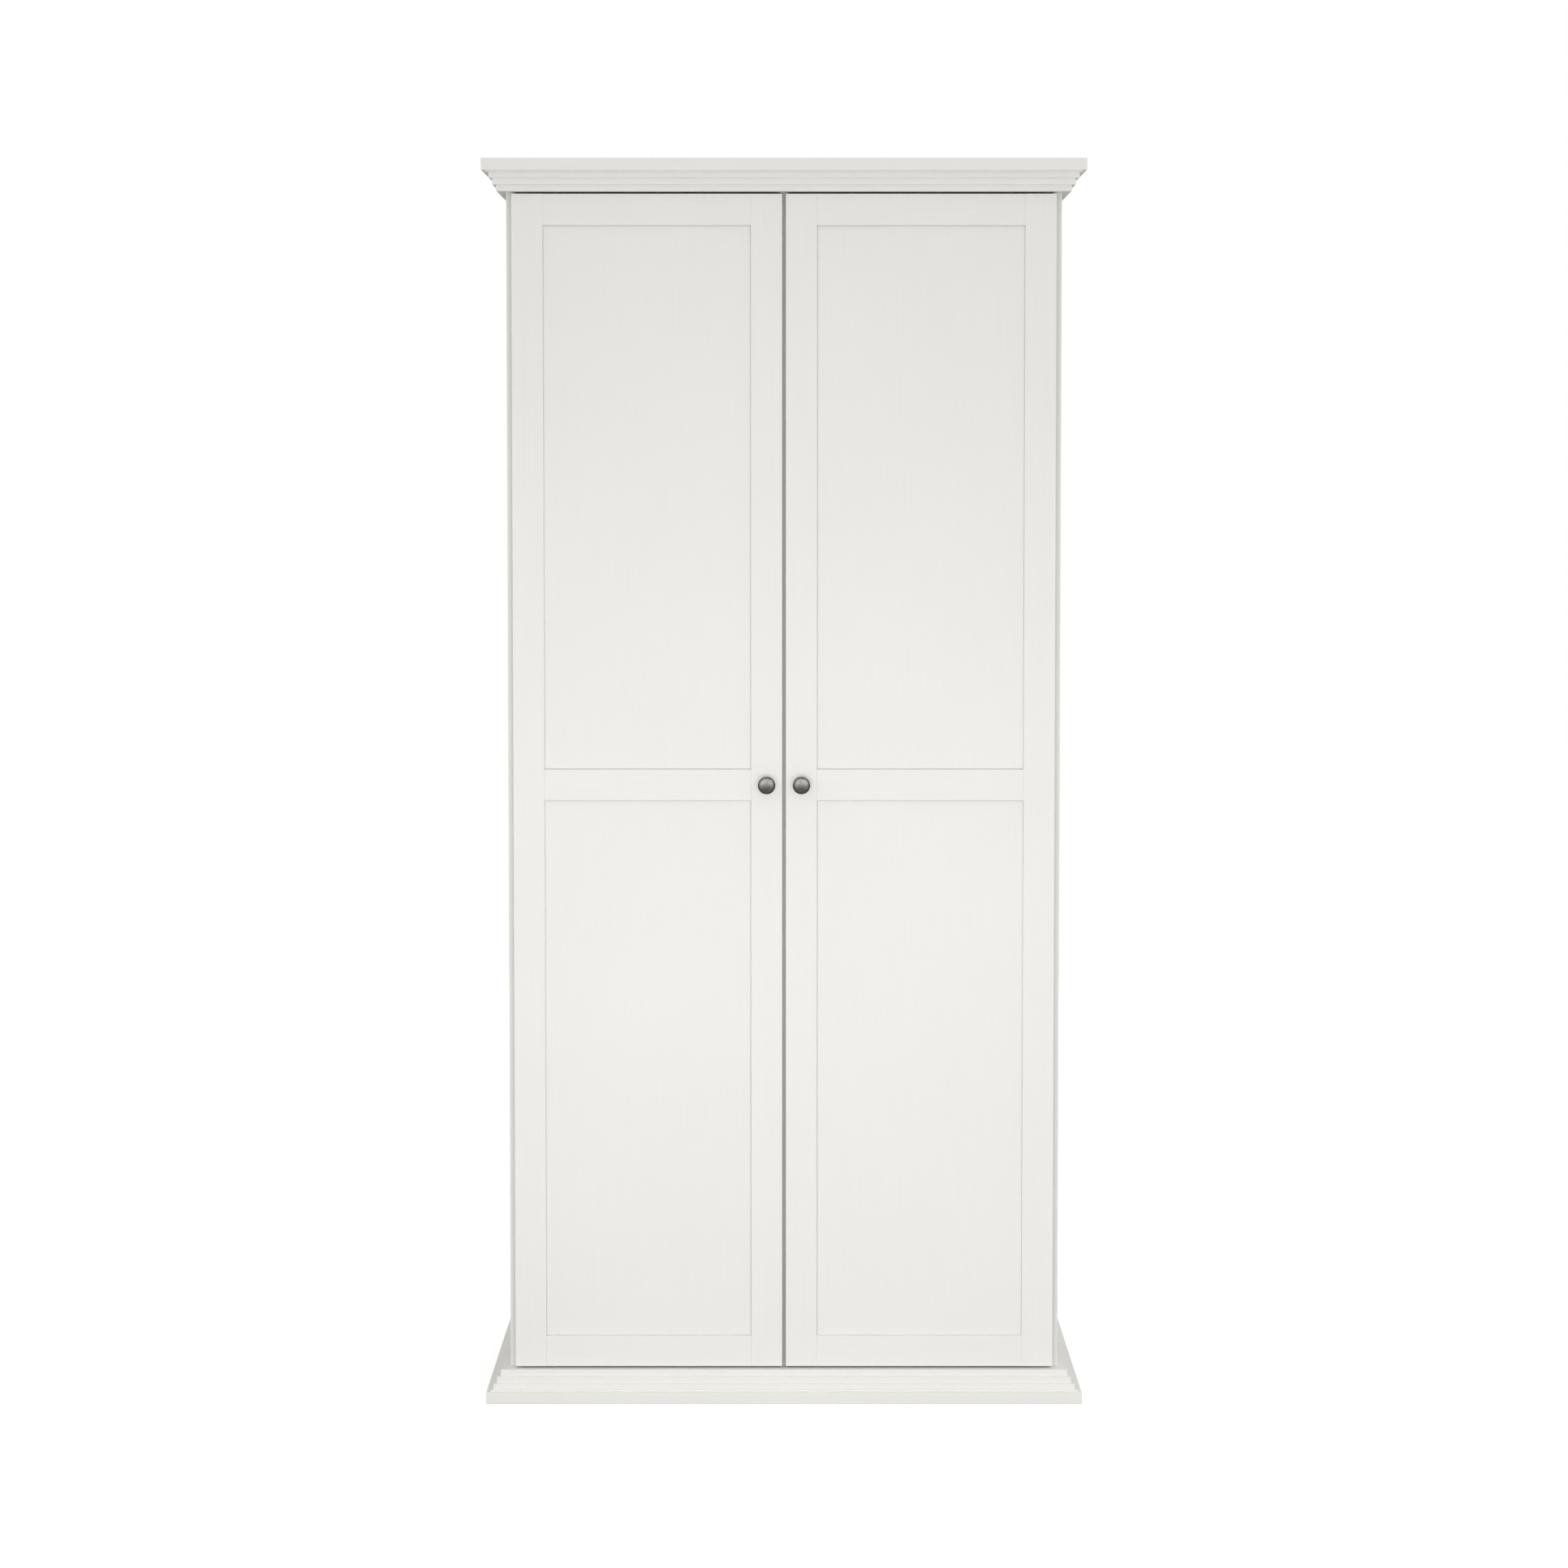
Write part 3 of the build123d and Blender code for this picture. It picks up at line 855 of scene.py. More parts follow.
def run_tree(mesh: bpy.types.Mesh, tree: bpy.types.NodeTree, sizes: dict[str, Any]) -> bpy.types.Mesh:
    """Run a geometry tree on a mesh.

    Args:
        mesh: What the tree starts from.
        tree: The tree.
        sizes: Value of each named input.

    Returns:
        The result as a plain mesh.
    """
    obj = bpy.data.objects.new(mesh.name, mesh)
    bpy.context.scene.collection.objects.link(obj)
    modifier = obj.modifiers.new("shape", "NODES")
    modifier.node_group = tree
    names = {item.name: item.identifier for item in tree.interface.items_tree if item.in_out == "INPUT"}
    for label, value in sizes.items():
        modifier[names[label]] = value
    graph = bpy.context.evaluated_depsgraph_get()
    made = bpy.data.meshes.new_from_object(obj.evaluated_get(graph))
    obj.modifiers.remove(modifier)
    bpy.data.objects.remove(obj)
    name = mesh.name
    bpy.data.meshes.remove(mesh)
    made.name = name
    return made


@dataclass(frozen=True)
class Spot:
    """A place for a fixing, and the way that its head faces."""

    place: Point
    facing: Point


def spot_mesh(name: str, spots: Iterable[Spot]) -> bpy.types.Mesh:
    """Make a mesh of loose points, each with the way that its fixing faces.

    Args:
        name: The mesh's name.
        spots: Where the fixings go.

    Returns:
        The mesh.
    """
    listed = list(spots)
    mesh = bpy.data.meshes.new(name)
    mesh.from_pydata([spot.place for spot in listed], [], [])
    facing = mesh.attributes.new("facing", "FLOAT_VECTOR", "POINT")
    for item, spot in zip(facing.data, listed):
        item.vector = spot.facing
    return mesh


def facing_turn(tree: bpy.types.NodeTree) -> bpy.types.NodeSocket:
    """Find the turn that stands a shape up along the way that each spot faces.

    Args:
        tree: The tree.

    Returns:
        The rotation.
    """
    facing = add_node(
        tree, "GeometryNodeInputNamedAttribute", {"Name": "facing"}, data_type="FLOAT_VECTOR"
    )
    turn = add_node(
        tree, "FunctionNodeAlignRotationToVector", {"Vector": facing.outputs["Attribute"]}, axis="Z"
    )
    return turn.outputs["Rotation"]


@dataclass(frozen=True)
class Fixing:
    """A fixing that stands at many spots: a tapered head, with or without a cross recess and a shank."""

    name: str
    finish: Finish
    head_radius: float
    head_height: float
    top_share: float = 0.72
    sides: int = 20
    recess_length: float = 0.0
    recess_width: float = 0.0
    recess_depth: float = 0.0
    shank_radius: float = 0.0
    shank_length: float = 0.0

    def tree(self) -> bpy.types.NodeTree:
        """Build the tree that puts one fixing at each spot.

        Returns:
            The tree.
        """
        labels = ("Head Radius", "Head Height", "Top Radius", "Recess Length", "Recess Width")
        labels += ("Recess Depth", "Shank Radius", "Shank Length")
        tree, given = start_tree(self.name, dict.fromkeys(labels, "NodeSocketFloat"))
        head = add_node(
            tree,
            "GeometryNodeMeshCone",
            {
                "Vertices": self.sides,
                "Radius Top": given["Top Radius"],
                "Radius Bottom": given["Head Radius"],
                "Depth": given["Head Height"],
            },
        ).outputs["Mesh"]
        if self.recess_depth:
            head = self._recessed(tree, given, head)
        if self.shank_length:
            head = self._shanked(tree, given, head)
        placed = add_node(
            tree,
            "GeometryNodeInstanceOnPoints",
            {"Points": given["Geometry"], "Instance": head, "Rotation": facing_turn(tree)},
        )
        end_tree(tree, placed.outputs["Instances"], (self.finish, True))
        return tree

    @staticmethod
    def _recessed(
        tree: bpy.types.NodeTree, given: bpy.types.NodeOutputs, head: bpy.types.NodeSocket
    ) -> bpy.types.NodeSocket:
        """Cut a cross recess into the head, with two bars that are centred on its top face.

        Args:
            tree: The tree.
            given: The tree's inputs.
            head: The head.

        Returns:
            The head with its recess.
        """
        # Half of a bar stands clear of the head, so it is twice as high as the recess is deep.
        depth = add_node(
            tree, "ShaderNodeMath", {0: given["Recess Depth"], 1: 2.0}, operation="MULTIPLY"
        ).outputs[0]
        top = add_node(tree, "ShaderNodeCombineXYZ", {"Z": given["Head Height"]})
        bars = []
        for along, across in (("Recess Length", "Recess Width"), ("Recess Width", "Recess Length")):
            size = add_node(
                tree, "ShaderNodeCombineXYZ", {"X": given[along], "Y": given[across], "Z": depth}
            )
            bar = add_node(tree, "GeometryNodeMeshCube", {"Size": size.outputs["Vector"]})
            bars.append(
                add_node(
                    tree,
                    "GeometryNodeTransform",
                    {"Geometry": bar.outputs["Mesh"], "Translation": top.outputs["Vector"]},
                ).outputs["Geometry"]
            )
        for bar in bars:
            cut = add_node(
                tree, "GeometryNodeMeshBoolean", {0: head, 1: bar}, operation="DIFFERENCE", solver=SOLVER
            )
            head = cut.outputs["Mesh"]
        return head

    def _shanked(
        self, tree: bpy.types.NodeTree, given: bpy.types.NodeOutputs, head: bpy.types.NodeSocket
    ) -> bpy.types.NodeSocket:
        """Put a round shank under the head.

        Args:
            tree: The tree.
            given: The tree's inputs.
            head: The head.

        Returns:
            The head and the shank.
        """
        drop = add_node(
            tree, "ShaderNodeMath", {0: given["Shank Length"], 1: -0.5}, operation="MULTIPLY"
        ).outputs[0]
        middle = add_node(tree, "ShaderNodeCombineXYZ", {"Z": drop})
        bar = add_node(
            tree,
            "GeometryNodeMeshCylinder",
            {
                "Vertices": self.sides,
                "Radius": given["Shank Radius"],
                "Depth": given["Shank Length"],
            },
        )
        shank = add_node(
            tree,
            "GeometryNodeTransform",
            {"Geometry": bar.outputs["Mesh"], "Translation": middle.outputs["Vector"]},
        )
        joined = add_node(tree, "GeometryNodeJoinGeometry")
        for part in (shank.outputs["Geometry"], head):
            tree.links.new(part, joined.inputs["Geometry"])
        return joined.outputs["Geometry"]

    def mesh(self, name: str, spots: Iterable[Spot]) -> bpy.types.Mesh:
        """Make the fixings of one piece.

        Args:
            name: The mesh's name.
            spots: Where they stand.

        Returns:
            A plain mesh of all of them.
        """
        tree = bpy.data.node_groups.get(self.name) or self.tree()
        sizes = {
            "Head Radius": self.head_radius,
            "Head Height": self.head_height,
            "Top Radius": self.head_radius * self.top_share,
            "Recess Length": self.recess_length,
            "Recess Width": self.recess_width,
            "Recess Depth": self.recess_depth,
            "Shank Radius": self.shank_radius,
            "Shank Length": self.shank_length,
        }
        return run_tree(spot_mesh(name, spots), tree, sizes)


PAN_SCREW = Fixing(
    "nickel_pan_screw",
    NICKEL,
    head_radius=3.6 * MM,
    head_height=1.8 * MM,
    recess_length=3.6 * MM,
    recess_width=0.9 * MM,
    recess_depth=1.0 * MM,
)
ARM_SCREW = Fixing(
    "hinge_adjusting_screw",
    ZINC,
    head_radius=3.0 * MM,
    head_height=1.4 * MM,
    top_share=0.85,
    recess_length=3.4 * MM,
    recess_width=0.9 * MM,
    recess_depth=0.9 * MM,
)
BRACKET_SCREW = Fixing(
    "bracket_screw",
    ZINC,
    head_radius=4.2 * MM,
    head_height=2.2 * MM,
    recess_length=4.2 * MM,
    recess_width=1.1 * MM,
    recess_depth=1.3 * MM,
)


@dataclass(frozen=True)
class PinHoles:
    """Spare holes above and below each shelf pin, so that the shelves can be moved up or down."""

    name: str = "spare_pin_holes"
    radius: float = 2.5 * MM
    depth: float = 7 * MM
    pitch: float = 32 * MM
    each_way: int = 2
    sides: int = 16

    def tree(self) -> bpy.types.NodeTree:
        """Build the tree that drills a board with a short ladder of holes round each pin.

        Returns:
            The tree.
        """
        sockets = {
            "Pins": "NodeSocketObject",
            "Hole Radius": "NodeSocketFloat",
            "Hole Depth": "NodeSocketFloat",
            "Pitch": "NodeSocketFloat",
        }
        tree, given = start_tree(self.name, sockets)
        pins = add_node(tree, "GeometryNodeObjectInfo", {"Object": given["Pins"]}).outputs["Geometry"]
        turn = facing_turn(tree)
        # Half of a drill stands clear of the board, so it is twice as long as the hole is deep.
        length = add_node(
            tree, "ShaderNodeMath", {0: given["Hole Depth"], 1: 2.0}, operation="MULTIPLY"
        ).outputs[0]
        drill = add_node(
            tree,
            "GeometryNodeMeshCylinder",
            {"Vertices": self.sides, "Radius": given["Hole Radius"], "Depth": length},
        )
        drills = add_node(tree, "GeometryNodeJoinGeometry")
        for step in range(-self.each_way, self.each_way + 1):
            if step == 0:
                continue
            rise = add_node(
                tree, "ShaderNodeMath", {0: given["Pitch"], 1: float(step)}, operation="MULTIPLY"
            )
            shift = add_node(tree, "ShaderNodeCombineXYZ", {"Z": rise.outputs[0]})
            moved = add_node(
                tree, "GeometryNodeSetPosition", {"Geometry": pins, "Offset": shift.outputs["Vector"]}
            )
            row = add_node(
                tree,
                "GeometryNodeInstanceOnPoints",
                {
                    "Points": moved.outputs["Geometry"],
                    "Instance": drill.outputs["Mesh"],
                    "Rotation": turn,
                },
            )
            tree.links.new(row.outputs["Instances"], drills.inputs["Geometry"])
        real = add_node(tree, "GeometryNodeRealizeInstances", {"Geometry": drills.outputs["Geometry"]})
        drilled = add_node(
            tree,
            "GeometryNodeMeshBoolean",
            {0: given["Geometry"], 1: real.outputs["Geometry"]},
            operation="DIFFERENCE",
            solver=SOLVER,
        )
        end_tree(tree, drilled.outputs["Mesh"], (UPRIGHT_FOIL, True))
        return tree

    def drill(self, mesh: bpy.types.Mesh, pins: Sequence[Spot]) -> bpy.types.Mesh:
        """Drill the spare holes into an upright.

        Args:
            mesh: The upright's mesh.
            pins: The pins in it, each facing out of the board.

        Returns:
            The drilled mesh.
        """
        tree = bpy.data.node_groups.get(self.name) or self.tree()
        marker = bpy.data.objects.new("pin_marker", spot_mesh("pin_marker", pins))
        bpy.context.scene.collection.objects.link(marker)
        sizes = {"Pins": marker, "Hole Radius": self.radius, "Hole Depth": self.depth, "Pitch": self.pitch}
        made = run_tree(mesh, tree, sizes)
        bpy.data.objects.remove(marker)
        return made


@dataclass(frozen=True)
class NailRow:
    """Flat-headed nails along a line on a panel's rear face, each driven into a small dimple."""

    heads_name: str = "back_nail_heads"
    dimples_name: str = "back_nail_dimples"
    spacing: float = 140 * MM
    head_radius: float = 2.4 * MM
    head_height: float = 0.5 * MM
    top_share: float = 0.85
    dimple_radius: float = 3.4 * MM
    dimple_depth: float = 0.6 * MM
    bare_depth: float = 0.9 * MM
    sides: int = 16

    @staticmethod
    def _placed(
        tree: bpy.types.NodeTree,
        line: bpy.types.NodeSocket,
        given: bpy.types.NodeOutputs,
        shape: bpy.types.Node,
    ) -> bpy.types.NodeSocket:
        """Put a shape at even steps along a line, facing the back.

        Args:
            tree: The tree.
            line: The line, as a mesh of edges.
            given: The tree's inputs.
            shape: The node that makes the shape.

        Returns:
            The instances.
        """
        path = add_node(tree, "GeometryNodeMeshToCurve", {"Mesh": line}).outputs["Curve"]
        steps = add_node(
            tree, "GeometryNodeCurveToPoints", {"Curve": path, "Length": given["Spacing"]}, mode="LENGTH"
        )
        turn = add_node(tree, "FunctionNodeAlignRotationToVector", {"Vector": (0, 1, 0)}, axis="Z")
        placed = add_node(
            tree,
            "GeometryNodeInstanceOnPoints",
            {
                "Points": steps.outputs["Points"],
                "Instance": shape.outputs["Mesh"],
                "Rotation": turn.outputs["Rotation"],
            },
        )
        return placed.outputs["Instances"]

    def _cone(self, tree: bpy.types.NodeTree, given: bpy.types.NodeOutputs) -> bpy.types.Node:
        """Add a tapered disc of the sizes that the tree is given.

        Args:
            tree: The tree.
            given: The tree's inputs.

        Returns:
            The disc's node.
        """
        sizes = {
            "Vertices": self.sides,
            "Radius Top": given["Top Radius"],
            "Radius Bottom": given["Foot Radius"],
            "Depth": given["Height"],
        }
        return add_node(tree, "GeometryNodeMeshCone", sizes)

    def _head_tree(self) -> bpy.types.NodeTree:
        """Build the tree that sets nail heads along a line.

        Returns:
            The tree.
        """
        labels = ("Spacing", "Foot Radius", "Top Radius", "Height")
        tree, given = start_tree(self.heads_name, dict.fromkeys(labels, "NodeSocketFloat"))
        heads = self._placed(tree, given["Geometry"], given, self._cone(tree, given))
        end_tree(tree, heads, (ZINC, True))
        return tree

    def _dimple_tree(self) -> bpy.types.NodeTree:
        """Build the tree that presses dimples into a panel, white in front and bare behind.

        Returns:
            The tree.
        """
        labels = ("Spacing", "Foot Radius", "Top Radius", "Height", "Bare Past")
        sockets = {"Line": "NodeSocketObject", **dict.fromkeys(labels, "NodeSocketFloat")}
        tree, given = start_tree(self.dimples_name, sockets)
        line = add_node(tree, "GeometryNodeObjectInfo", {"Object": given["Line"]}).outputs["Geometry"]
        presses = self._placed(tree, line, given, self._cone(tree, given))
        real = add_node(tree, "GeometryNodeRealizeInstances", {"Geometry": presses})
        pressed = add_node(
            tree,
            "GeometryNodeMeshBoolean",
            {0: given["Geometry"], 1: real.outputs["Geometry"]},
            operation="DIFFERENCE",
            solver=SOLVER,
        )
        place = add_node(tree, "GeometryNodeInputPosition").outputs["Position"]
        depth = add_node(tree, "ShaderNodeSeparateXYZ", {"Vector": place}).outputs["Y"]
        rear = add_node(
            tree, "ShaderNodeMath", {0: depth, 1: given["Bare Past"]}, operation="GREATER_THAN"
        ).outputs[0]
        end_tree(tree, pressed.outputs["Mesh"], (BACK_LACQUER, True), (BARE_HARDBOARD, rear))
        return tree

    def heads(self, line: bpy.types.Mesh) -> bpy.types.Mesh:
        """Make the nail heads along a line.

        Args:
            line: The line, at the depth of the dimples' floors.

        Returns:
            A plain mesh of all of them.
        """
        tree = bpy.data.node_groups.get(self.heads_name) or self._head_tree()
        sizes = {
            "Spacing": self.spacing,
            "Foot Radius": self.head_radius,
            "Top Radius": self.head_radius * self.top_share,
            "Height": self.head_height,
        }
        return run_tree(line, tree, sizes)

    def dimple(self, panel: bpy.types.Mesh, line: bpy.types.Mesh, rear: float) -> bpy.types.Mesh:
        """Press the nails' dimples into a panel.

        Args:
            panel: The panel's mesh.
            line: The line that the nails follow, at the depth of the dimples' floors.
            rear: Y of the panel's rear face.

        Returns:
            The dimpled panel.
        """
        tree = bpy.data.node_groups.get(self.dimples_name) or self._dimple_tree()
        marker = bpy.data.objects.new(line.name, line)
        bpy.context.scene.collection.objects.link(marker)
        # The press stands as far out of the panel as it goes in, so its mouth is halfway up its taper.
        # A face is bare where its middle lies behind a plane a little deeper than the dimples.
        sizes = {
            "Line": marker,
            "Spacing": self.spacing,
            "Foot Radius": self.head_radius,
            "Top Radius": 2 * self.dimple_radius - self.head_radius,
            "Height": 2 * self.dimple_depth,
            "Bare Past": rear - self.bare_depth,
        }
        made = run_tree(panel, tree, sizes)
        bpy.data.objects.remove(marker)
        return made


@dataclass(frozen=True)
class StripRun:
    """Where one strip of moulding runs along a plate, and how its two ends are cut.

    A slope is how far that end moves along the run for each metre of inset: 1 or -1 for a mitre, and 0 for
    a square end.
    """

    origin: Point
    inset_way: Point
    height_way: Point
    run_way: Point
    start: float
    end: float
    start_slope: float
    end_slope: float

    @property
    def mirrored(self) -> bool:
        """Whether the three directions make a left-handed frame, which turns faces inside out."""
        return Vector(self.inset_way).dot(Vector(self.height_way).cross(Vector(self.run_way))) < 0


@dataclass(frozen=True)
class SteppedMoulding:
    """A moulding that draws back from a plate in steps, each with its outer corner eased.

    Its section is drawn flat, with the inset from the plate's edge along X and the height from the plate's
    face along Y. Each step is an inset and the height that it ends at.
    """

    finish: Finish
    steps: tuple[Pair, ...] = (
        (6.5 * MM, 2.5 * MM),
        (11.0 * MM, 11.6 * MM),
        (16.4 * MM, 22.1 * MM),
        (22.3 * MM, 32.0 * MM),
    )
    arris_radius: float = 1.1 * MM
    arris_faces: int = 3

    def section(self, name: str, mitre_depth: float, back: float) -> bpy.types.Mesh:
        """Draw the section's outline, with the radius that each corner is eased by.

        Args:
            name: The mesh's name.
            mitre_depth: Inset at which a mitre ends.
            back: Inset of the moulding's back, at the mitre's end or further in.

        Returns:
            A closed loop of edges.
        """
        top = self.steps[-1][1]
        corners = [(mitre_depth, 0.0, 0.0)]
        foot = 0.0
        for inset, head in self.steps:
            corners += [(inset, foot, 0.0), (inset, head, self.arris_radius)]
            foot = head
        corners.append((mitre_depth, top, 0.0))
        if back > mitre_depth + MERGE_DISTANCE:
            corners += [(back, top, 0.0), (back, 0.0, 0.0)]
        outline = bpy.data.meshes.new(name)
        count = len(corners)
        edges = [(corner, (corner + 1) % count) for corner in range(count)]
        outline.from_pydata([(inset, height, 0) for inset, height, _ in corners], edges, [])
        arris = outline.attributes.new("arris", "FLOAT", "POINT")
        arris.data.foreach_set("value", [radius for _, _, radius in corners])
        return outline

    def tree(self, name: str) -> bpy.types.NodeTree:
        """Build the tree that eases the section's corners, and runs it along a plate.

        Args:
            name: The tree's name.

        Returns:
            The tree.
        """
        sizes = ("Start", "End", "Start Slope", "End Slope", "Mitre Depth")
        ways = ("Origin", "Inset Way", "Height Way", "Run Way")
        sockets = dict.fromkeys(sizes, "NodeSocketFloat") | dict.fromkeys(ways, "NodeSocketVector")
        tree, given = start_tree(name, sockets | {"Mirrored": "NodeSocketBool"})
        prism = self._prism(tree, given["Geometry"])
        at = add_node(tree, "GeometryNodeInputPosition").outputs["Position"]
        inset, height, along = add_node(tree, "ShaderNodeSeparateXYZ", {"Vector": at}).outputs
        slant = add_node(
            tree, "ShaderNodeMath", {0: inset, 1: given["Mitre Depth"]}, operation="MINIMUM"
        ).outputs[0]
        ends = [
            add_node(
                tree,
                "ShaderNodeMath",
                {0: slant, 1: given[f"{end} Slope"], 2: given[end]},
                operation="MULTIPLY_ADD",
            ).outputs[0]
            for end in ("Start", "End")
        ]
        # In a mix of plain numbers, sockets 2 and 3 are where it starts and ends.
        reach = add_node(tree, "ShaderNodeMix", {MIX_SHARE: along, 2: ends[0], 3: ends[1]}).outputs[0]
        place = given["Origin"]
        for way, distance in (("Inset Way", inset), ("Height Way", height), ("Run Way", reach)):
            place = add_node(
                tree,
                "ShaderNodeVectorMath",
                {0: given[way], 1: distance, 2: place},
                operation="MULTIPLY_ADD",
            ).outputs["Vector"]
        moved = add_node(tree, "GeometryNodeSetPosition", {"Geometry": prism, "Position": place})
        turned = add_node(
            tree,
            "GeometryNodeFlipFaces",
            {"Mesh": moved.outputs["Geometry"], "Selection": given["Mirrored"]},
        )
        normal = add_node(tree, "GeometryNodeInputNormal").outputs["Normal"]
        backward = add_node(tree, "ShaderNodeSeparateXYZ", {"Vector": normal}).outputs["Y"]
        rear = add_node(
            tree, "ShaderNodeMath", {0: backward, 1: REAR_FACING}, operation="GREATER_THAN"
        ).outputs[0]
        end_tree(tree, turned.outputs["Mesh"], (self.finish, True), (BARE_FIBREBOARD, rear))
        return tree

    def _prism(self, tree: bpy.types.NodeTree, outline: bpy.types.NodeSocket) -> bpy.types.NodeSocket:
        """Ease the outline's corners, fill it, and draw it out to a closed prism one metre long.

        Args:
            tree: The tree.
            outline: The section's outline.

        Returns:
            The prism, along Z.
        """
        line = add_node(tree, "GeometryNodeMeshToCurve", {"Mesh": outline}).outputs["Curve"]
        radius = add_node(tree, "GeometryNodeInputNamedAttribute", {"Name": "arris"}, data_type="FLOAT")
        eased = add_node(
            tree,
            "GeometryNodeFilletCurve",
            {"Curve": line, "Count": self.arris_faces, "Radius": radius.outputs["Attribute"]},
            mode="POLY",
        ).outputs["Curve"]
        # Triangles, because the end of a front strip folds where its mitre stops.
        end = add_node(tree, "GeometryNodeFillCurve", {"Curve": eased}, mode="TRIANGLES").outputs["Mesh"]
        metre = add_node(tree, "ShaderNodeCombineXYZ", {"Z": 1.0}).outputs["Vector"]
        drawn = add_node(
            tree,
            "GeometryNodeExtrudeMesh",
            {"Mesh": end, "Offset": metre, "Individual": False},
            mode="FACES",
        )
        start = add_node(tree, "GeometryNodeFlipFaces", {"Mesh": end})
        both = add_node(tree, "GeometryNodeJoinGeometry")
        for shape in (drawn, start):
            tree.links.new(shape.outputs["Mesh"], both.inputs["Geometry"])
        merged = add_node(
            tree,
            "GeometryNodeMergeByDistance",
            {"Geometry": both.outputs["Geometry"], "Distance": MERGE_DISTANCE},
        )
        return merged.outputs["Geometry"]

    def mesh(self, name: str, run: StripRun, mitre_depth: float, back: float) -> bpy.types.Mesh:
        """Make one strip.

        Args:
            name: The mesh's name.
            run: Where the strip runs.
            mitre_depth: Inset at which its mitres end.
            back: Inset of its back.

        Returns:
            The strip's plain mesh.
        """
        label = f"stepped_moulding_{self.finish.name}"
        tree = bpy.data.node_groups.get(label) or self.tree(label)
        sizes = {
            "Origin": run.origin,
            "Inset Way": run.inset_way,
            "Height Way": run.height_way,
            "Run Way": run.run_way,
            "Start": run.start,
            "End": run.end,
            "Start Slope": run.start_slope,
            "End Slope": run.end_slope,
            "Mitre Depth": mitre_depth,
            "Mirrored": run.mirrored,
        }
        return run_tree(self.section(name, mitre_depth, back), tree, sizes)


# Sub-assemblies


@dataclass
class Boards:
    """The two plates, the three uprights and the shelves, with the pins that carry them."""

    rounding: Rounding = Rounding(width=0.6 * MM, steps=3, shortest=12 * MM)
    holes: PinHoles = PinHoles()
    pin_front: float = -150 * MM
    pin_rear: float = 240 * MM
    pin_drop: float = 2.5 * MM
    pin_reach: float = 9 * MM
    pin_hold: float = 7.5 * MM
    pin_radius: float = 2.5 * MM
    pin_taper: float = 0.86

    def build(self) -> None:
        """Build every board, and the pins that carry the shelves."""
        for node in ("base_plate", "top_plate"):
            self._plate(node)
        self._uprights()
        for node in ("hat_shelf", *self.right_shelves()):
            self._board(node, ACROSS_FOIL)
        self._pins()

    @staticmethod
    def right_shelves() -> list[str]:
        """Names of the shelves on the right."""
        return sorted(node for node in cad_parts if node.startswith("right_shelf_"))

    def _board(self, node: str, finish: Finish) -> None:
        """Round a board's edges and finish it all over.

        Args:
            node: The board's node.
            finish: Its finish.
        """
        mesh = as_mesh(f"{node}_finished", self.rounding.rounded_copy(node), smooth=False)
        add_piece(mesh.name, mesh, CARCASS, [finish], [node])

    def _plate(self, node: str) -> None:
        """Finish a plate in foil, apart from its sawn rear edge, which stays bare chipboard.

        Args:
            node: The plate's node.
        """
        work = self.rounding.rounded_copy(node)
        for face in work.faces:
            face.material_index = int(face.normal.y > REAR_FACING)
        mesh = as_mesh(f"{node}_finished", work, smooth=False)
        add_piece(mesh.name, mesh, CARCASS, [ACROSS_FOIL, BARE_CHIPBOARD], [node])

    def _uprights(self) -> None:
        """Round and drill the side panels and the partition."""
        for node in ("left_side_panel", "centre_partition", "right_side_panel"):
            low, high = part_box(node)
            left, right = low.x - MERGE_DISTANCE, high.x + MERGE_DISTANCE
            pins = [spot for spot in self.pin_spots() if left < spot.place[0] < right]
            mesh = as_mesh(f"{node}_finished", self.rounding.rounded_copy(node), smooth=False)
            mesh = self.holes.drill(mesh, pins)
            add_piece(mesh.name, mesh, CARCASS, stands_for=[node])

    def pin_spots(self) -> list[Spot]:
        """Find where each shelf pin leaves its board, and the way that it points.

        Returns:
            The spots of all pins.
        """
        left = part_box("left_side_panel")[1].x
        middle_left, middle_right = (corner.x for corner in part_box("centre_partition"))
        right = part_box("right_side_panel")[0].x
        halves = [("hat_shelf", left, middle_left)]
        halves += [(node, middle_right, right) for node in self.right_shelves()]
        spots = []
        for node, face_left, face_right in halves:
            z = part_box(node)[0].z - self.pin_drop
            for y in (self.pin_front, self.pin_rear):
                spots.append(Spot((face_left, y, z), (1, 0, 0)))
                spots.append(Spot((face_right, y, z), (-1, 0, 0)))
        return spots

    def _pins(self) -> None:
        """Make the shelf pins, each a peg that tapers a little under the shelf."""
        peg = Fixing(
            "shelf_pin",
            NICKEL,
            head_radius=self.pin_radius,
            head_height=self.pin_reach,
            top_share=self.pin_taper,
            shank_radius=self.pin_radius,
            shank_length=self.pin_hold,
        )
        mesh = peg.mesh("shelf_pins_finished", self.pin_spots())
        add_piece(mesh.name, mesh, CARCASS, stands_for=["shelf_pins"])


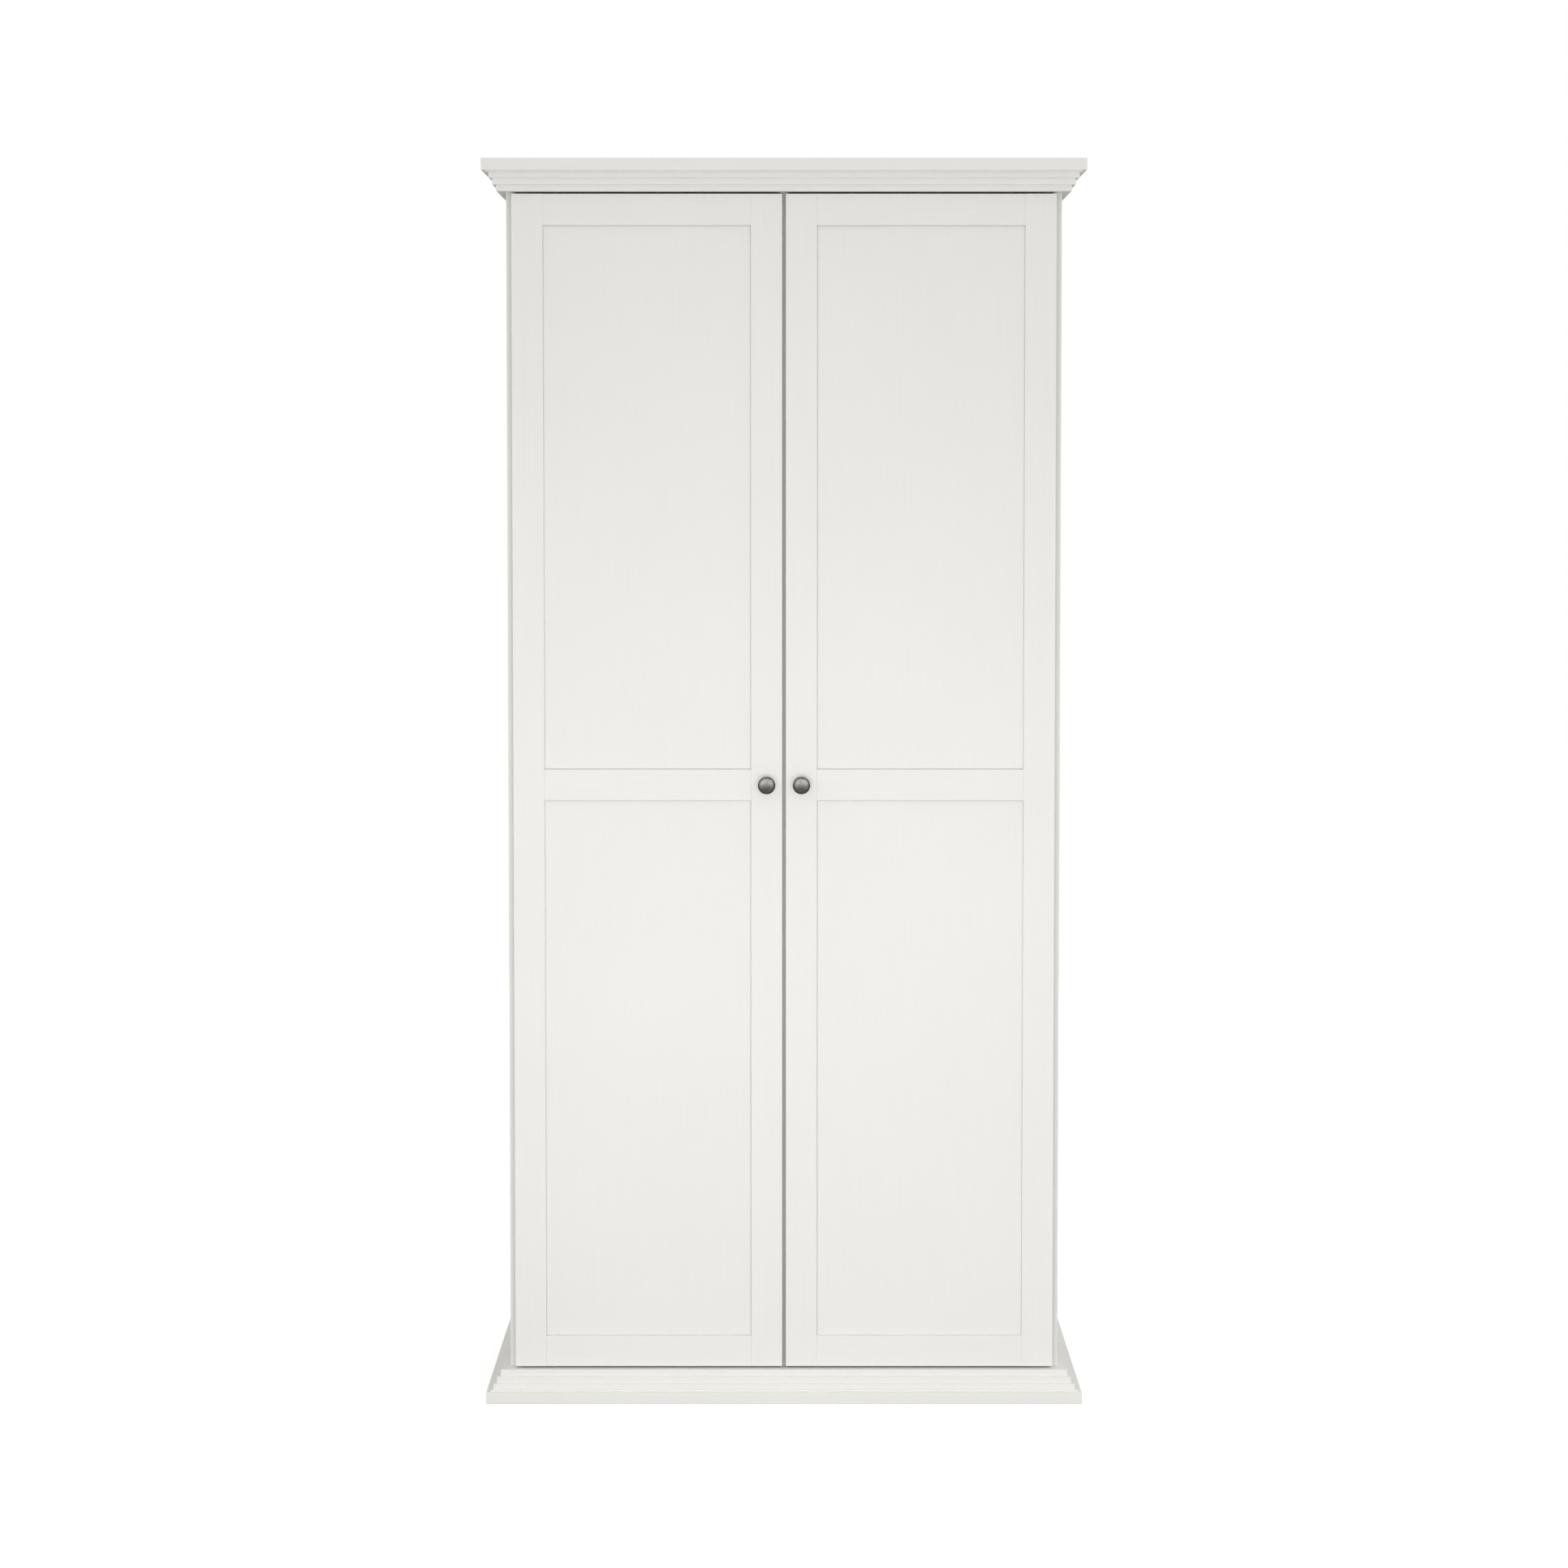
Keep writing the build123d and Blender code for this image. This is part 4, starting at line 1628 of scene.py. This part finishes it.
@dataclass
class Mouldings:
    """The stepped strips of the cornice and the plinth, wrapped in foil with bare sawn ends."""

    front: SteppedMoulding = SteppedMoulding(ACROSS_FOIL)
    sides: SteppedMoulding = SteppedMoulding(DEEP_FOIL)

    def build(self) -> None:
        """Build the three strips of the cornice and of the plinth."""
        for place, rise in (("cornice", -1), ("plinth", 1)):
            self._front(f"{place}_front_moulding", rise)
            for side in Side:
                self._side(f"{place}_{side.label}_moulding", side, rise)

    @staticmethod
    def _plate_face(node: str, rise: int) -> float:
        """Find the height of the plate's face that a strip lies on.

        Args:
            node: The strip's node.
            rise: 1 for a strip that stands on its plate, -1 for one that hangs under it.

        Returns:
            The face's Z.
        """
        low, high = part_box(node)
        return low.z if rise > 0 else high.z

    def _front(self, node: str, rise: int) -> None:
        """Make a front strip, mitred at both ends as far as the side strips are deep.

        Args:
            node: The strip's node.
            rise: 1 for a strip that stands on its plate, -1 for one that hangs under it.
        """
        edge_low, edge_high = CAD_BOX
        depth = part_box(node.replace("front", Side.LEFT.label))[1].x - edge_low.x
        origin = (0, edge_low.y, self._plate_face(node, rise))
        run = StripRun(
            origin,
            inset_way=(0, 1, 0),
            height_way=(0, 0, rise),
            run_way=(1, 0, 0),
            start=edge_low.x,
            end=edge_high.x,
            start_slope=1,
            end_slope=-1,
        )
        mesh = self.front.mesh(f"{node}_finished", run, depth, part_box(node)[1].y - edge_low.y)
        add_piece(mesh.name, mesh, CARCASS, stands_for=[node])

    def _side(self, node: str, side: Side, rise: int) -> None:
        """Make a side strip, mitred at the front and square at the back.

        Args:
            node: The strip's node.
            side: The side that it is on.
            rise: 1 for a strip that stands on its plate, -1 for one that hangs under it.
        """
        edge_low, edge_high = CAD_BOX
        low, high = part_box(node)
        inward = -side.value
        edge = edge_high.x if side is Side.RIGHT else edge_low.x
        depth = abs((high.x if inward > 0 else low.x) - edge)
        origin = (edge, 0, self._plate_face(node, rise))
        run = StripRun(
            origin,
            inset_way=(inward, 0, 0),
            height_way=(0, 0, rise),
            run_way=(0, 1, 0),
            start=edge_low.y,
            end=edge_high.y,
            start_slope=1,
            end_slope=0,
        )
        mesh = self.sides.mesh(f"{node}_finished", run, depth, depth)
        add_piece(mesh.name, mesh, CARCASS, stands_for=[node])


@dataclass
class BackPanels:
    """The two thin back panels: lacquered white inside, bare behind, and nailed on round their edges."""

    nails: NailRow = NailRow()
    nail_inset: float = 7.5 * MM

    def build(self) -> None:
        """Build both panels and their nails."""
        for side in Side:
            node = f"{side.label}_back_panel"
            mesh = as_mesh(f"{node}_finished", merged_copy(node), smooth=False)
            mesh = self.nails.dimple(mesh, self._path(f"{node}_marker", node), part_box(node)[1].y)
            add_piece(mesh.name, mesh, CARCASS, stands_for=[node])
            mesh = self.nails.heads(self._path(f"{side.label}_back_nails", node))
            add_piece(mesh.name, mesh, CARCASS)

    def _path(self, name: str, node: str) -> bpy.types.Mesh:
        """Draw the line that the nails follow, in from a panel's edges and at the depth of the dimples.

        Args:
            name: The line's name.
            node: The panel's node.

        Returns:
            A mesh of edges, closed on itself.
        """
        low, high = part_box(node)
        inset = self.nail_inset
        left, right, bottom, top = low.x + inset, high.x - inset, low.z + inset, high.z - inset
        y = high.y - self.nails.dimple_depth
        path = bpy.data.meshes.new(name)
        corners = [(left, y, bottom), (right, y, bottom), (right, y, top), (left, y, top)]
        path.from_pydata(corners, [(0, 1), (1, 2), (2, 3), (3, 0)], [])
        return path


@dataclass
class HangingRail:
    """The oval rail and the two sockets that carry it."""

    socket_rounding: Rounding = Rounding(width=0.4 * MM, steps=2, shortest=0.2 * MM)

    def build(self) -> None:
        """Build the rail and its sockets."""
        mesh = as_mesh("hanging_rail_finished", merged_copy("hanging_rail"), smooth=True)
        add_piece(mesh.name, mesh, CARCASS, [CHROME], ["hanging_rail"])
        work = self.socket_rounding.rounded_copy("rail_sockets")
        mesh = as_mesh("rail_sockets_finished", work, smooth=True)
        add_piece(mesh.name, mesh, CARCASS, [NICKEL], ["rail_sockets"])


@dataclass
class JointFittings:
    """What holds the carcass together and to the wall: dowels, cam locks, cam bolts and wall brackets."""

    cam_sides: int = 32
    cam_radius: float = 7.4 * MM
    cam_depth: float = 12 * MM
    cam_slot_length: float = 9 * MM
    cam_slot_width: float = 1.8 * MM
    cam_slot_depth: float = 3 * MM
    cam_y: float = 25 * MM
    cam_from_end: float = 34 * MM
    bracket_rounding: Rounding = Rounding(width=0.4 * MM, steps=2, shortest=8 * MM)
    bracket_screw_in: float = 20 * MM
    bracket_gauge: float = 2 * MM

    def build(self) -> None:
        """Build the fittings."""
        dress("carcass_dowels", BEECH)
        dress("cam_bolts", ZINC)
        self._cams()
        work = self.bracket_rounding.rounded_copy("wall_brackets")
        mesh = as_mesh("wall_brackets_finished", work, smooth=True)
        add_piece(mesh.name, mesh, CARCASS, [ZINC], ["wall_brackets"])
        self._bracket_screws()

    def _cams(self) -> None:
        """Make the cam locks, flush in the uprights' faces, each with a cross for the screwdriver."""
        cam = Fixing(
            "cam_lock",
            CAST_ZINC,
            head_radius=self.cam_radius,
            head_height=self.cam_depth,
            top_share=1.0,
            sides=self.cam_sides,
            recess_length=self.cam_slot_length,
            recess_width=self.cam_slot_width,
            recess_depth=self.cam_slot_depth,
        )
        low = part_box("left_side_panel")[0].z + self.cam_from_end
        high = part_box("left_side_panel")[1].z - self.cam_from_end
        faces = (
            (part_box("left_side_panel")[1].x, 1),
            (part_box("centre_partition")[1].x, 1),
            (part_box("right_side_panel")[0].x, -1),
        )
        spots = [
            Spot((x - way * self.cam_depth, self.cam_y, z), (way, 0, 0))
            for x, way in faces
            for z in (low, high)
        ]
        mesh = cam.mesh("cam_locks_finished", spots)
        add_piece(mesh.name, mesh, CARCASS, stands_for=["cam_locks"])

    def _bracket_screws(self) -> None:
        """Put the screw that holds each wall bracket up under the top plate."""
        low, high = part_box("wall_brackets")
        # A bracket is as wide as it is high.
        half = (high.z - low.z) / 2
        y = high.y - self.bracket_screw_in
        z = high.z - self.bracket_gauge
        spots = [Spot((x, y, z), (0, 0, -1)) for x in (low.x + half, high.x - half)]
        mesh = BRACKET_SCREW.mesh("wall_bracket_screws", spots)
        add_piece(mesh.name, mesh, CARCASS)


@dataclass
class HingeMounts:
    """The hinge arms and mounting plates that stay on one side panel, with their screws."""

    side: Side
    rounding: Rounding = Rounding(width=0.3 * MM, steps=2, shortest=2.5 * MM)
    wing_screw_y: float = -198 * MM
    wing_screw_z: float = 19 * MM
    plate_base: float = 2 * MM
    arm_screws_y: tuple[float, ...] = (-204 * MM, -184 * MM)
    arm_top: float = 11 * MM

    def build(self) -> None:
        """Build the three arms and plates of this side, and screw them on."""
        for kind in ("arms", "plates"):
            node = f"{self.side.label}_hinge_{kind}"
            mesh = as_mesh(f"{node}_finished", self.rounding.rounded_copy(node), smooth=True)
            add_piece(mesh.name, mesh, CARCASS, [NICKEL], [node])
        self._screws()

    def _screws(self) -> None:
        """Make the screws in the plates' wings, and the adjusting screws in the arms."""
        label = self.side.label
        inward = -self.side.value
        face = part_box(f"{label}_side_panel")[1 if inward > 0 else 0].x
        wing = face + inward * self.plate_base
        wings = [
            Spot((wing, self.wing_screw_y, z + way * self.wing_screw_z), (inward, 0, 0))
            for z in HINGE_HEIGHTS
            for way in (-1, 1)
        ]
        mesh = PAN_SCREW.mesh(f"{label}_hinge_plate_screws", wings)
        add_piece(mesh.name, mesh, CARCASS)
        adjusters = [
            Spot((face + inward * self.arm_top, y, z), (inward, 0, 0))
            for z in HINGE_HEIGHTS
            for y in self.arm_screws_y
        ]
        mesh = ARM_SCREW.mesh(f"{label}_hinge_arm_screws", adjusters)
        add_piece(mesh.name, mesh, CARCASS)


@dataclass
class Knob:
    """A turned mushroom knob: a small foot, a waisted neck, a rounded rim and a low dome."""

    side: Side
    foot_radius: float = 7.4 * MM
    foot_height: float = 2.2 * MM
    neck_radius: float = 5.4 * MM
    neck_height: float = 6.0 * MM
    rim_radius: float = 14.0 * MM
    rim_start: float = 12.6 * MM
    rim_end: float = 16.6 * MM
    dome_radius: float = 12.9 * MM
    groove: float = 0.3 * MM
    edge: float = 0.5 * MM
    reach: float = 21.9 * MM
    sides: int = 96
    edge_steps: int = 4
    curve_steps: int = 10
    dome_steps: int = 14

    def outline(self) -> list[Pair]:
        """Draw the knob's outline from the centre of its foot to its crown.

        Returns:
            Radius and distance from the door's face at each point.
        """
        edge = self.edge
        rim_middle = (self.rim_start + self.rim_end) / 2
        foot = (self.foot_radius, self.foot_height - edge)
        shoulder = (self.foot_radius - edge, self.foot_height)
        neck = (self.neck_radius, self.neck_height)
        under_rim = (self.rim_radius - 2 * edge, self.rim_start)
        rim = (self.rim_radius, rim_middle)
        over_rim = (self.dome_radius + edge, self.rim_end)
        points = [(0.0, 0.0), (self.foot_radius, 0.0), foot]
        points += bend(foot, (self.foot_radius, self.foot_height), shoulder, self.edge_steps)
        points += bend(shoulder, (self.neck_radius, self.foot_height), neck, self.curve_steps)
        points += bend(neck, (self.neck_radius, self.rim_start), under_rim, self.curve_steps)
        points += bend(under_rim, (self.rim_radius, self.rim_start), rim, self.curve_steps)
        points += bend(rim, (self.rim_radius, self.rim_end), over_rim, self.curve_steps)
        points.append((self.dome_radius, self.rim_end - self.groove))
        start = self.dome_radius - edge / 2
        rise = self.reach - self.rim_end
        ball = (start**2 + rise**2) / (2 * rise)
        widest = math.asin(start / ball)
        for step in range(self.dome_steps + 1):
            turn = widest * (1 - step / self.dome_steps)
            points.append((ball * math.sin(turn), self.reach - ball * (1 - math.cos(turn))))
        return points

    def build(self) -> None:
        """Build the knob on its door."""
        node = f"{self.side.label}_door_knob"
        low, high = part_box(node)
        foot = ((low.x + high.x) / 2, high.y, (low.z + high.z) / 2)
        mesh = as_mesh(f"{node}_finished", lathe(self.outline(), self.sides, foot), smooth=True)
        # Cast pewter, dulled and polished again by hands: a soft grey gleam above from the lamps, and a
        # nearly black rim, darkened partly by patina and partly by painted shade.
        pewter = PewterFinish(f"{self.side.label}_knob_dark_pewter", foot, self.rim_radius)
        add_piece(mesh.name, mesh, self.side.body, [pewter], [node])


@dataclass
class Door:
    """One door: a grooved frame round two thin panels, with its knob and the hinge cups in its back."""

    side: Side
    rounding: Rounding = Rounding(width=0.5 * MM, steps=3, shortest=6 * MM)
    cup_rounding: Rounding = Rounding(width=0.25 * MM, steps=2, shortest=1.5 * MM)
    quirk_width: float = 1.0 * MM
    quirk_depth: float = 0.8 * MM
    wing_screw_x: float = 405.5 * MM
    wing_screw_z: float = 24 * MM
    knob_screw_head: float = 2.4 * MM
    knob_screw_recess_width: float = 1.1 * MM
    knob_screw_recess_depth: float = 1.4 * MM

    def build(self) -> None:
        """Build every piece that swings with this door."""
        label = self.side.label
        for member in ("hinge_stile", "lock_stile"):
            self._member(f"{label}_door_{member}", UPRIGHT_FOIL)
        for member in ("top_rail", "mid_rail", "bottom_rail"):
            self._member(f"{label}_door_{member}", ACROSS_FOIL)
        self._panel("upper_panel", "mid_rail", "top_rail")
        self._panel("lower_panel", "bottom_rail", "mid_rail")
        Knob(self.side).build()
        self._knob_screw()
        self._hinge_cups()

    def _member(self, node: str, finish: Finish) -> None:
        """Round the edges of a stile or a rail, which leaves a fine line where two of them meet.

        Args:
            node: The member's node.
            finish: Its finish, with the grain along the member.
        """
        mesh = as_mesh(f"{node}_finished", self.rounding.rounded_copy(node), smooth=False)
        add_piece(mesh.name, mesh, self.side.body, [finish], [node])

    def _panel(self, panel: str, rail_below: str, rail_above: str) -> None:
        """Make a panel with a fine quirk scored along the frame, which shows as a thin dark line.

        Args:
            panel: The panel's name.
            rail_below: The rail under it.
            rail_above: The rail over it.
        """
        label = f"{self.side.label}_door"
        node = f"{label}_{panel}"
        low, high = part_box(node)
        stiles = (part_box(f"{label}_{name}_stile") for name in ("hinge", "lock"))
        left_stile, right_stile = sorted(stiles, key=lambda box: box[0].x)
        left, right = left_stile[1].x, right_stile[0].x
        bottom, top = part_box(f"{label}_{rail_below}")[1].z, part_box(f"{label}_{rail_above}")[0].z
        quirk = self.quirk_width
        whole = (low.x, low.z, high.x, high.z)
        seen = (left, bottom, right, top)
        field = (left + quirk, bottom + quirk, right - quirk, top - quirk)
        back, front, sunk = high.y, low.y, low.y + self.quirk_depth
        steps = [(whole, back), (whole, front), (seen, front), (seen, sunk), (field, sunk), (field, front)]
        mesh = as_mesh(f"{node}_finished", stepped_plate(steps), smooth=False)
        add_piece(mesh.name, mesh, self.side.body, [UPRIGHT_FOIL], [node])

    def _knob_screw(self) -> None:
        """Make the screw that holds the knob from behind."""
        node = f"{self.side.label}_door_knob_screw"
        low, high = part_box(node)
        head_radius = (high.x - low.x) / 2
        screw = Fixing(
            "knob_screw",
            ZINC,
            head_radius=head_radius,
            head_height=self.knob_screw_head,
            recess_length=head_radius,
            recess_width=self.knob_screw_recess_width,
            recess_depth=self.knob_screw_recess_depth,
            shank_radius=head_radius / 2,
            shank_length=high.y - low.y - self.knob_screw_head,
        )
        place = ((low.x + high.x) / 2, high.y - self.knob_screw_head, (low.z + high.z) / 2)
        mesh = screw.mesh(f"{node}_finished", [Spot(place, (0, 1, 0))])
        add_piece(mesh.name, mesh, self.side.body, stands_for=[node])

    def _hinge_cups(self) -> None:
        """Finish the cups, pins and springs of the hinges, and screw the cups to the door."""
        label = self.side.label
        node = f"{label}_hinge_cups"
        mesh = as_mesh(f"{node}_finished", self.cup_rounding.rounded_copy(node), smooth=True)
        add_piece(mesh.name, mesh, self.side.body, [NICKEL], [node])
        dress(f"{label}_hinge_pins", ZINC)
        dress(f"{label}_hinge_springs", ZINC)
        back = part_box(node)[1].y
        x = self.side.value * self.wing_screw_x
        spots = [
            Spot((x, back, z + way * self.wing_screw_z), (0, 1, 0))
            for z in HINGE_HEIGHTS
            for way in (-1, 1)
        ]
        mesh = PAN_SCREW.mesh(f"{label}_hinge_cup_screws", spots)
        add_piece(mesh.name, mesh, self.side.body)


# Studio


@dataclass(frozen=True)
class Lamp:
    """A soft rectangular lamp, which lights the surfaces or else only makes highlights in metal."""

    name: str
    place: Point
    aim: Point
    size: Pair
    power: float
    only_in_metal: bool = False

    def hang(self) -> None:
        """Put the lamp in the scene, aimed at its point."""
        data = bpy.data.lights.new(self.name, "AREA")
        data.shape = "RECTANGLE"
        data.size, data.size_y = self.size
        data.energy = self.power
        obj = bpy.data.objects.new(self.name, data)
        bpy.context.scene.collection.objects.link(obj)
        obj.location = self.place
        obj.rotation_euler = (Vector(self.aim) - Vector(self.place)).to_track_quat("-Z", "Y").to_euler()
        obj.visible_camera = False
        obj.visible_glossy = self.only_in_metal
        obj.visible_diffuse = not self.only_in_metal


@dataclass
class Studio:
    """The photograph's camera, a white room and soft frontal light."""

    camera_distance: float = 6.46
    eye_height: float = 1.492
    tilt: float = math.radians(3.43)
    lens: float = 92.92
    drop_shift: float = -0.04
    floor_half: float = 12.0
    floor_gap: float = 0.2 * MM
    white: str = "#ffffff"
    ambient: float = 0.735
    floor_glow: float = 0.66
    floor_tone: str = "#bcbcbc"
    floor_in_metal: float = 0.04
    lamps: tuple[Lamp, ...] = (
        Lamp("front_key", (0, -2.9, 0.62), (0, 0, 0.62), (2.2, 1.2), 36.2),
        Lamp("rear_fill", (1.6, 4.5, 2.2), (0, 0.3, 1.0), (2.5, 2.5), 70.0),
        Lamp("left_highlight", (-2.4, -2.0, 2.9), (0, -0.26, 1.0), (1.6, 1.6), 17.0, only_in_metal=True),
        Lamp("right_highlight", (2.4, -2.0, 2.9), (0, -0.26, 1.0), (1.6, 1.6), 17.0, only_in_metal=True),
    )

    def build(self) -> None:
        """Set up the camera, the lamps, the white surround and the floor."""
        bpy.context.scene.view_settings.view_transform = "Standard"
        self._camera()
        for lamp in self.lamps:
            lamp.hang()
        self._surround()
        self._floor()

    def _camera(self) -> None:
        """Stand the camera at eye height in front of the doors, tilted down a little.

        A shift frames the rest of the way, so that uprights stay as good as parallel.
        """
        data = bpy.data.cameras.new("photo_view")
        data.lens = self.lens
        data.shift_y = self.drop_shift
        obj = bpy.data.objects.new("photo_view", data)
        bpy.context.scene.collection.objects.link(obj)
        front = CAD_BOX[0].y
        obj.location = (0, front - self.camera_distance, self.eye_height)
        obj.rotation_euler = (math.pi / 2 - self.tilt, 0, 0)
        bpy.context.scene.camera = obj

    def _surround(self) -> None:
        """Make a surround that looks white, and lights the object only softly."""
        world = bpy.data.worlds.new("white_room")
        world.use_nodes = True
        tree = world.node_tree
        tree.nodes.clear()
        rays = add_node(tree, "ShaderNodeLightPath").outputs
        soft = add_node(
            tree, "ShaderNodeBackground", {"Color": linear(self.white), "Strength": self.ambient}
        )
        white = add_node(tree, "ShaderNodeBackground", {"Color": linear(self.white), "Strength": 1.0})
        mixed = add_node(
            tree,
            "ShaderNodeMixShader",
            {0: rays["Is Camera Ray"], 1: soft.outputs["Background"], 2: white.outputs["Background"]},
        )
        add_node(tree, "ShaderNodeOutputWorld", {"Surface": mixed.outputs["Shader"]})
        bpy.context.scene.world = world

    def _floor(self) -> None:
        """Make a pale floor that looks white where nothing shades it.

        In metal it shows as a faint dark glow instead of its lit colour: a painted dark reflection that
        keeps the knobs' lower halves dark, so that the knobs keep their shape.
        """
        half = self.floor_half
        z = CAD_BOX[0].z - self.floor_gap
        corners = [(-half, -half, z), (half, -half, z), (half, half, z), (-half, half, z)]
        mesh = bpy.data.meshes.new("studio_floor")
        mesh.from_pydata(corners, [], [(0, 1, 2, 3)])
        material = bpy.data.materials.new("pale_floor")
        material.use_nodes = True
        tree = material.node_tree
        tree.nodes.clear()
        matt = add_node(tree, "ShaderNodeBsdfDiffuse", {"Color": linear(self.floor_tone)})
        rays = add_node(tree, "ShaderNodeLightPath").outputs
        glow_share = add_node(
            tree, "ShaderNodeMath", {0: rays["Is Camera Ray"], 1: self.floor_glow}, operation="MULTIPLY"
        )
        glow = add_node(tree, "ShaderNodeEmission", {"Strength": glow_share.outputs[0]})
        white = add_node(
            tree, "ShaderNodeAddShader", {0: matt.outputs["BSDF"], 1: glow.outputs["Emission"]}
        )
        # Painted dark reflection: glossy rays see this faint glow instead of the floor's lit colour.
        dark = add_node(tree, "ShaderNodeEmission", {"Strength": self.floor_in_metal})
        both = add_node(
            tree,
            "ShaderNodeMixShader",
            {0: rays["Is Glossy Ray"], 1: white.outputs["Shader"], 2: dark.outputs["Emission"]},
        )
        add_node(tree, "ShaderNodeOutputMaterial", {"Surface": both.outputs["Shader"]})
        mesh.materials.append(material)
        obj = bpy.data.objects.new("studio_floor", mesh)
        bpy.context.scene.collection.objects.link(obj)


def main() -> None:
    """Build the wardrobe's sub-assemblies in order, then the studio round them."""
    logging.basicConfig(level=logging.INFO, format="%(name)s: %(message)s")
    Boards().build()
    Mouldings().build()
    BackPanels().build()
    HangingRail().build()
    JointFittings().build()
    for side in Side:
        HingeMounts(side).build()
        Door(side).build()
    Studio().build()


if __name__ == "__main__":
    main()
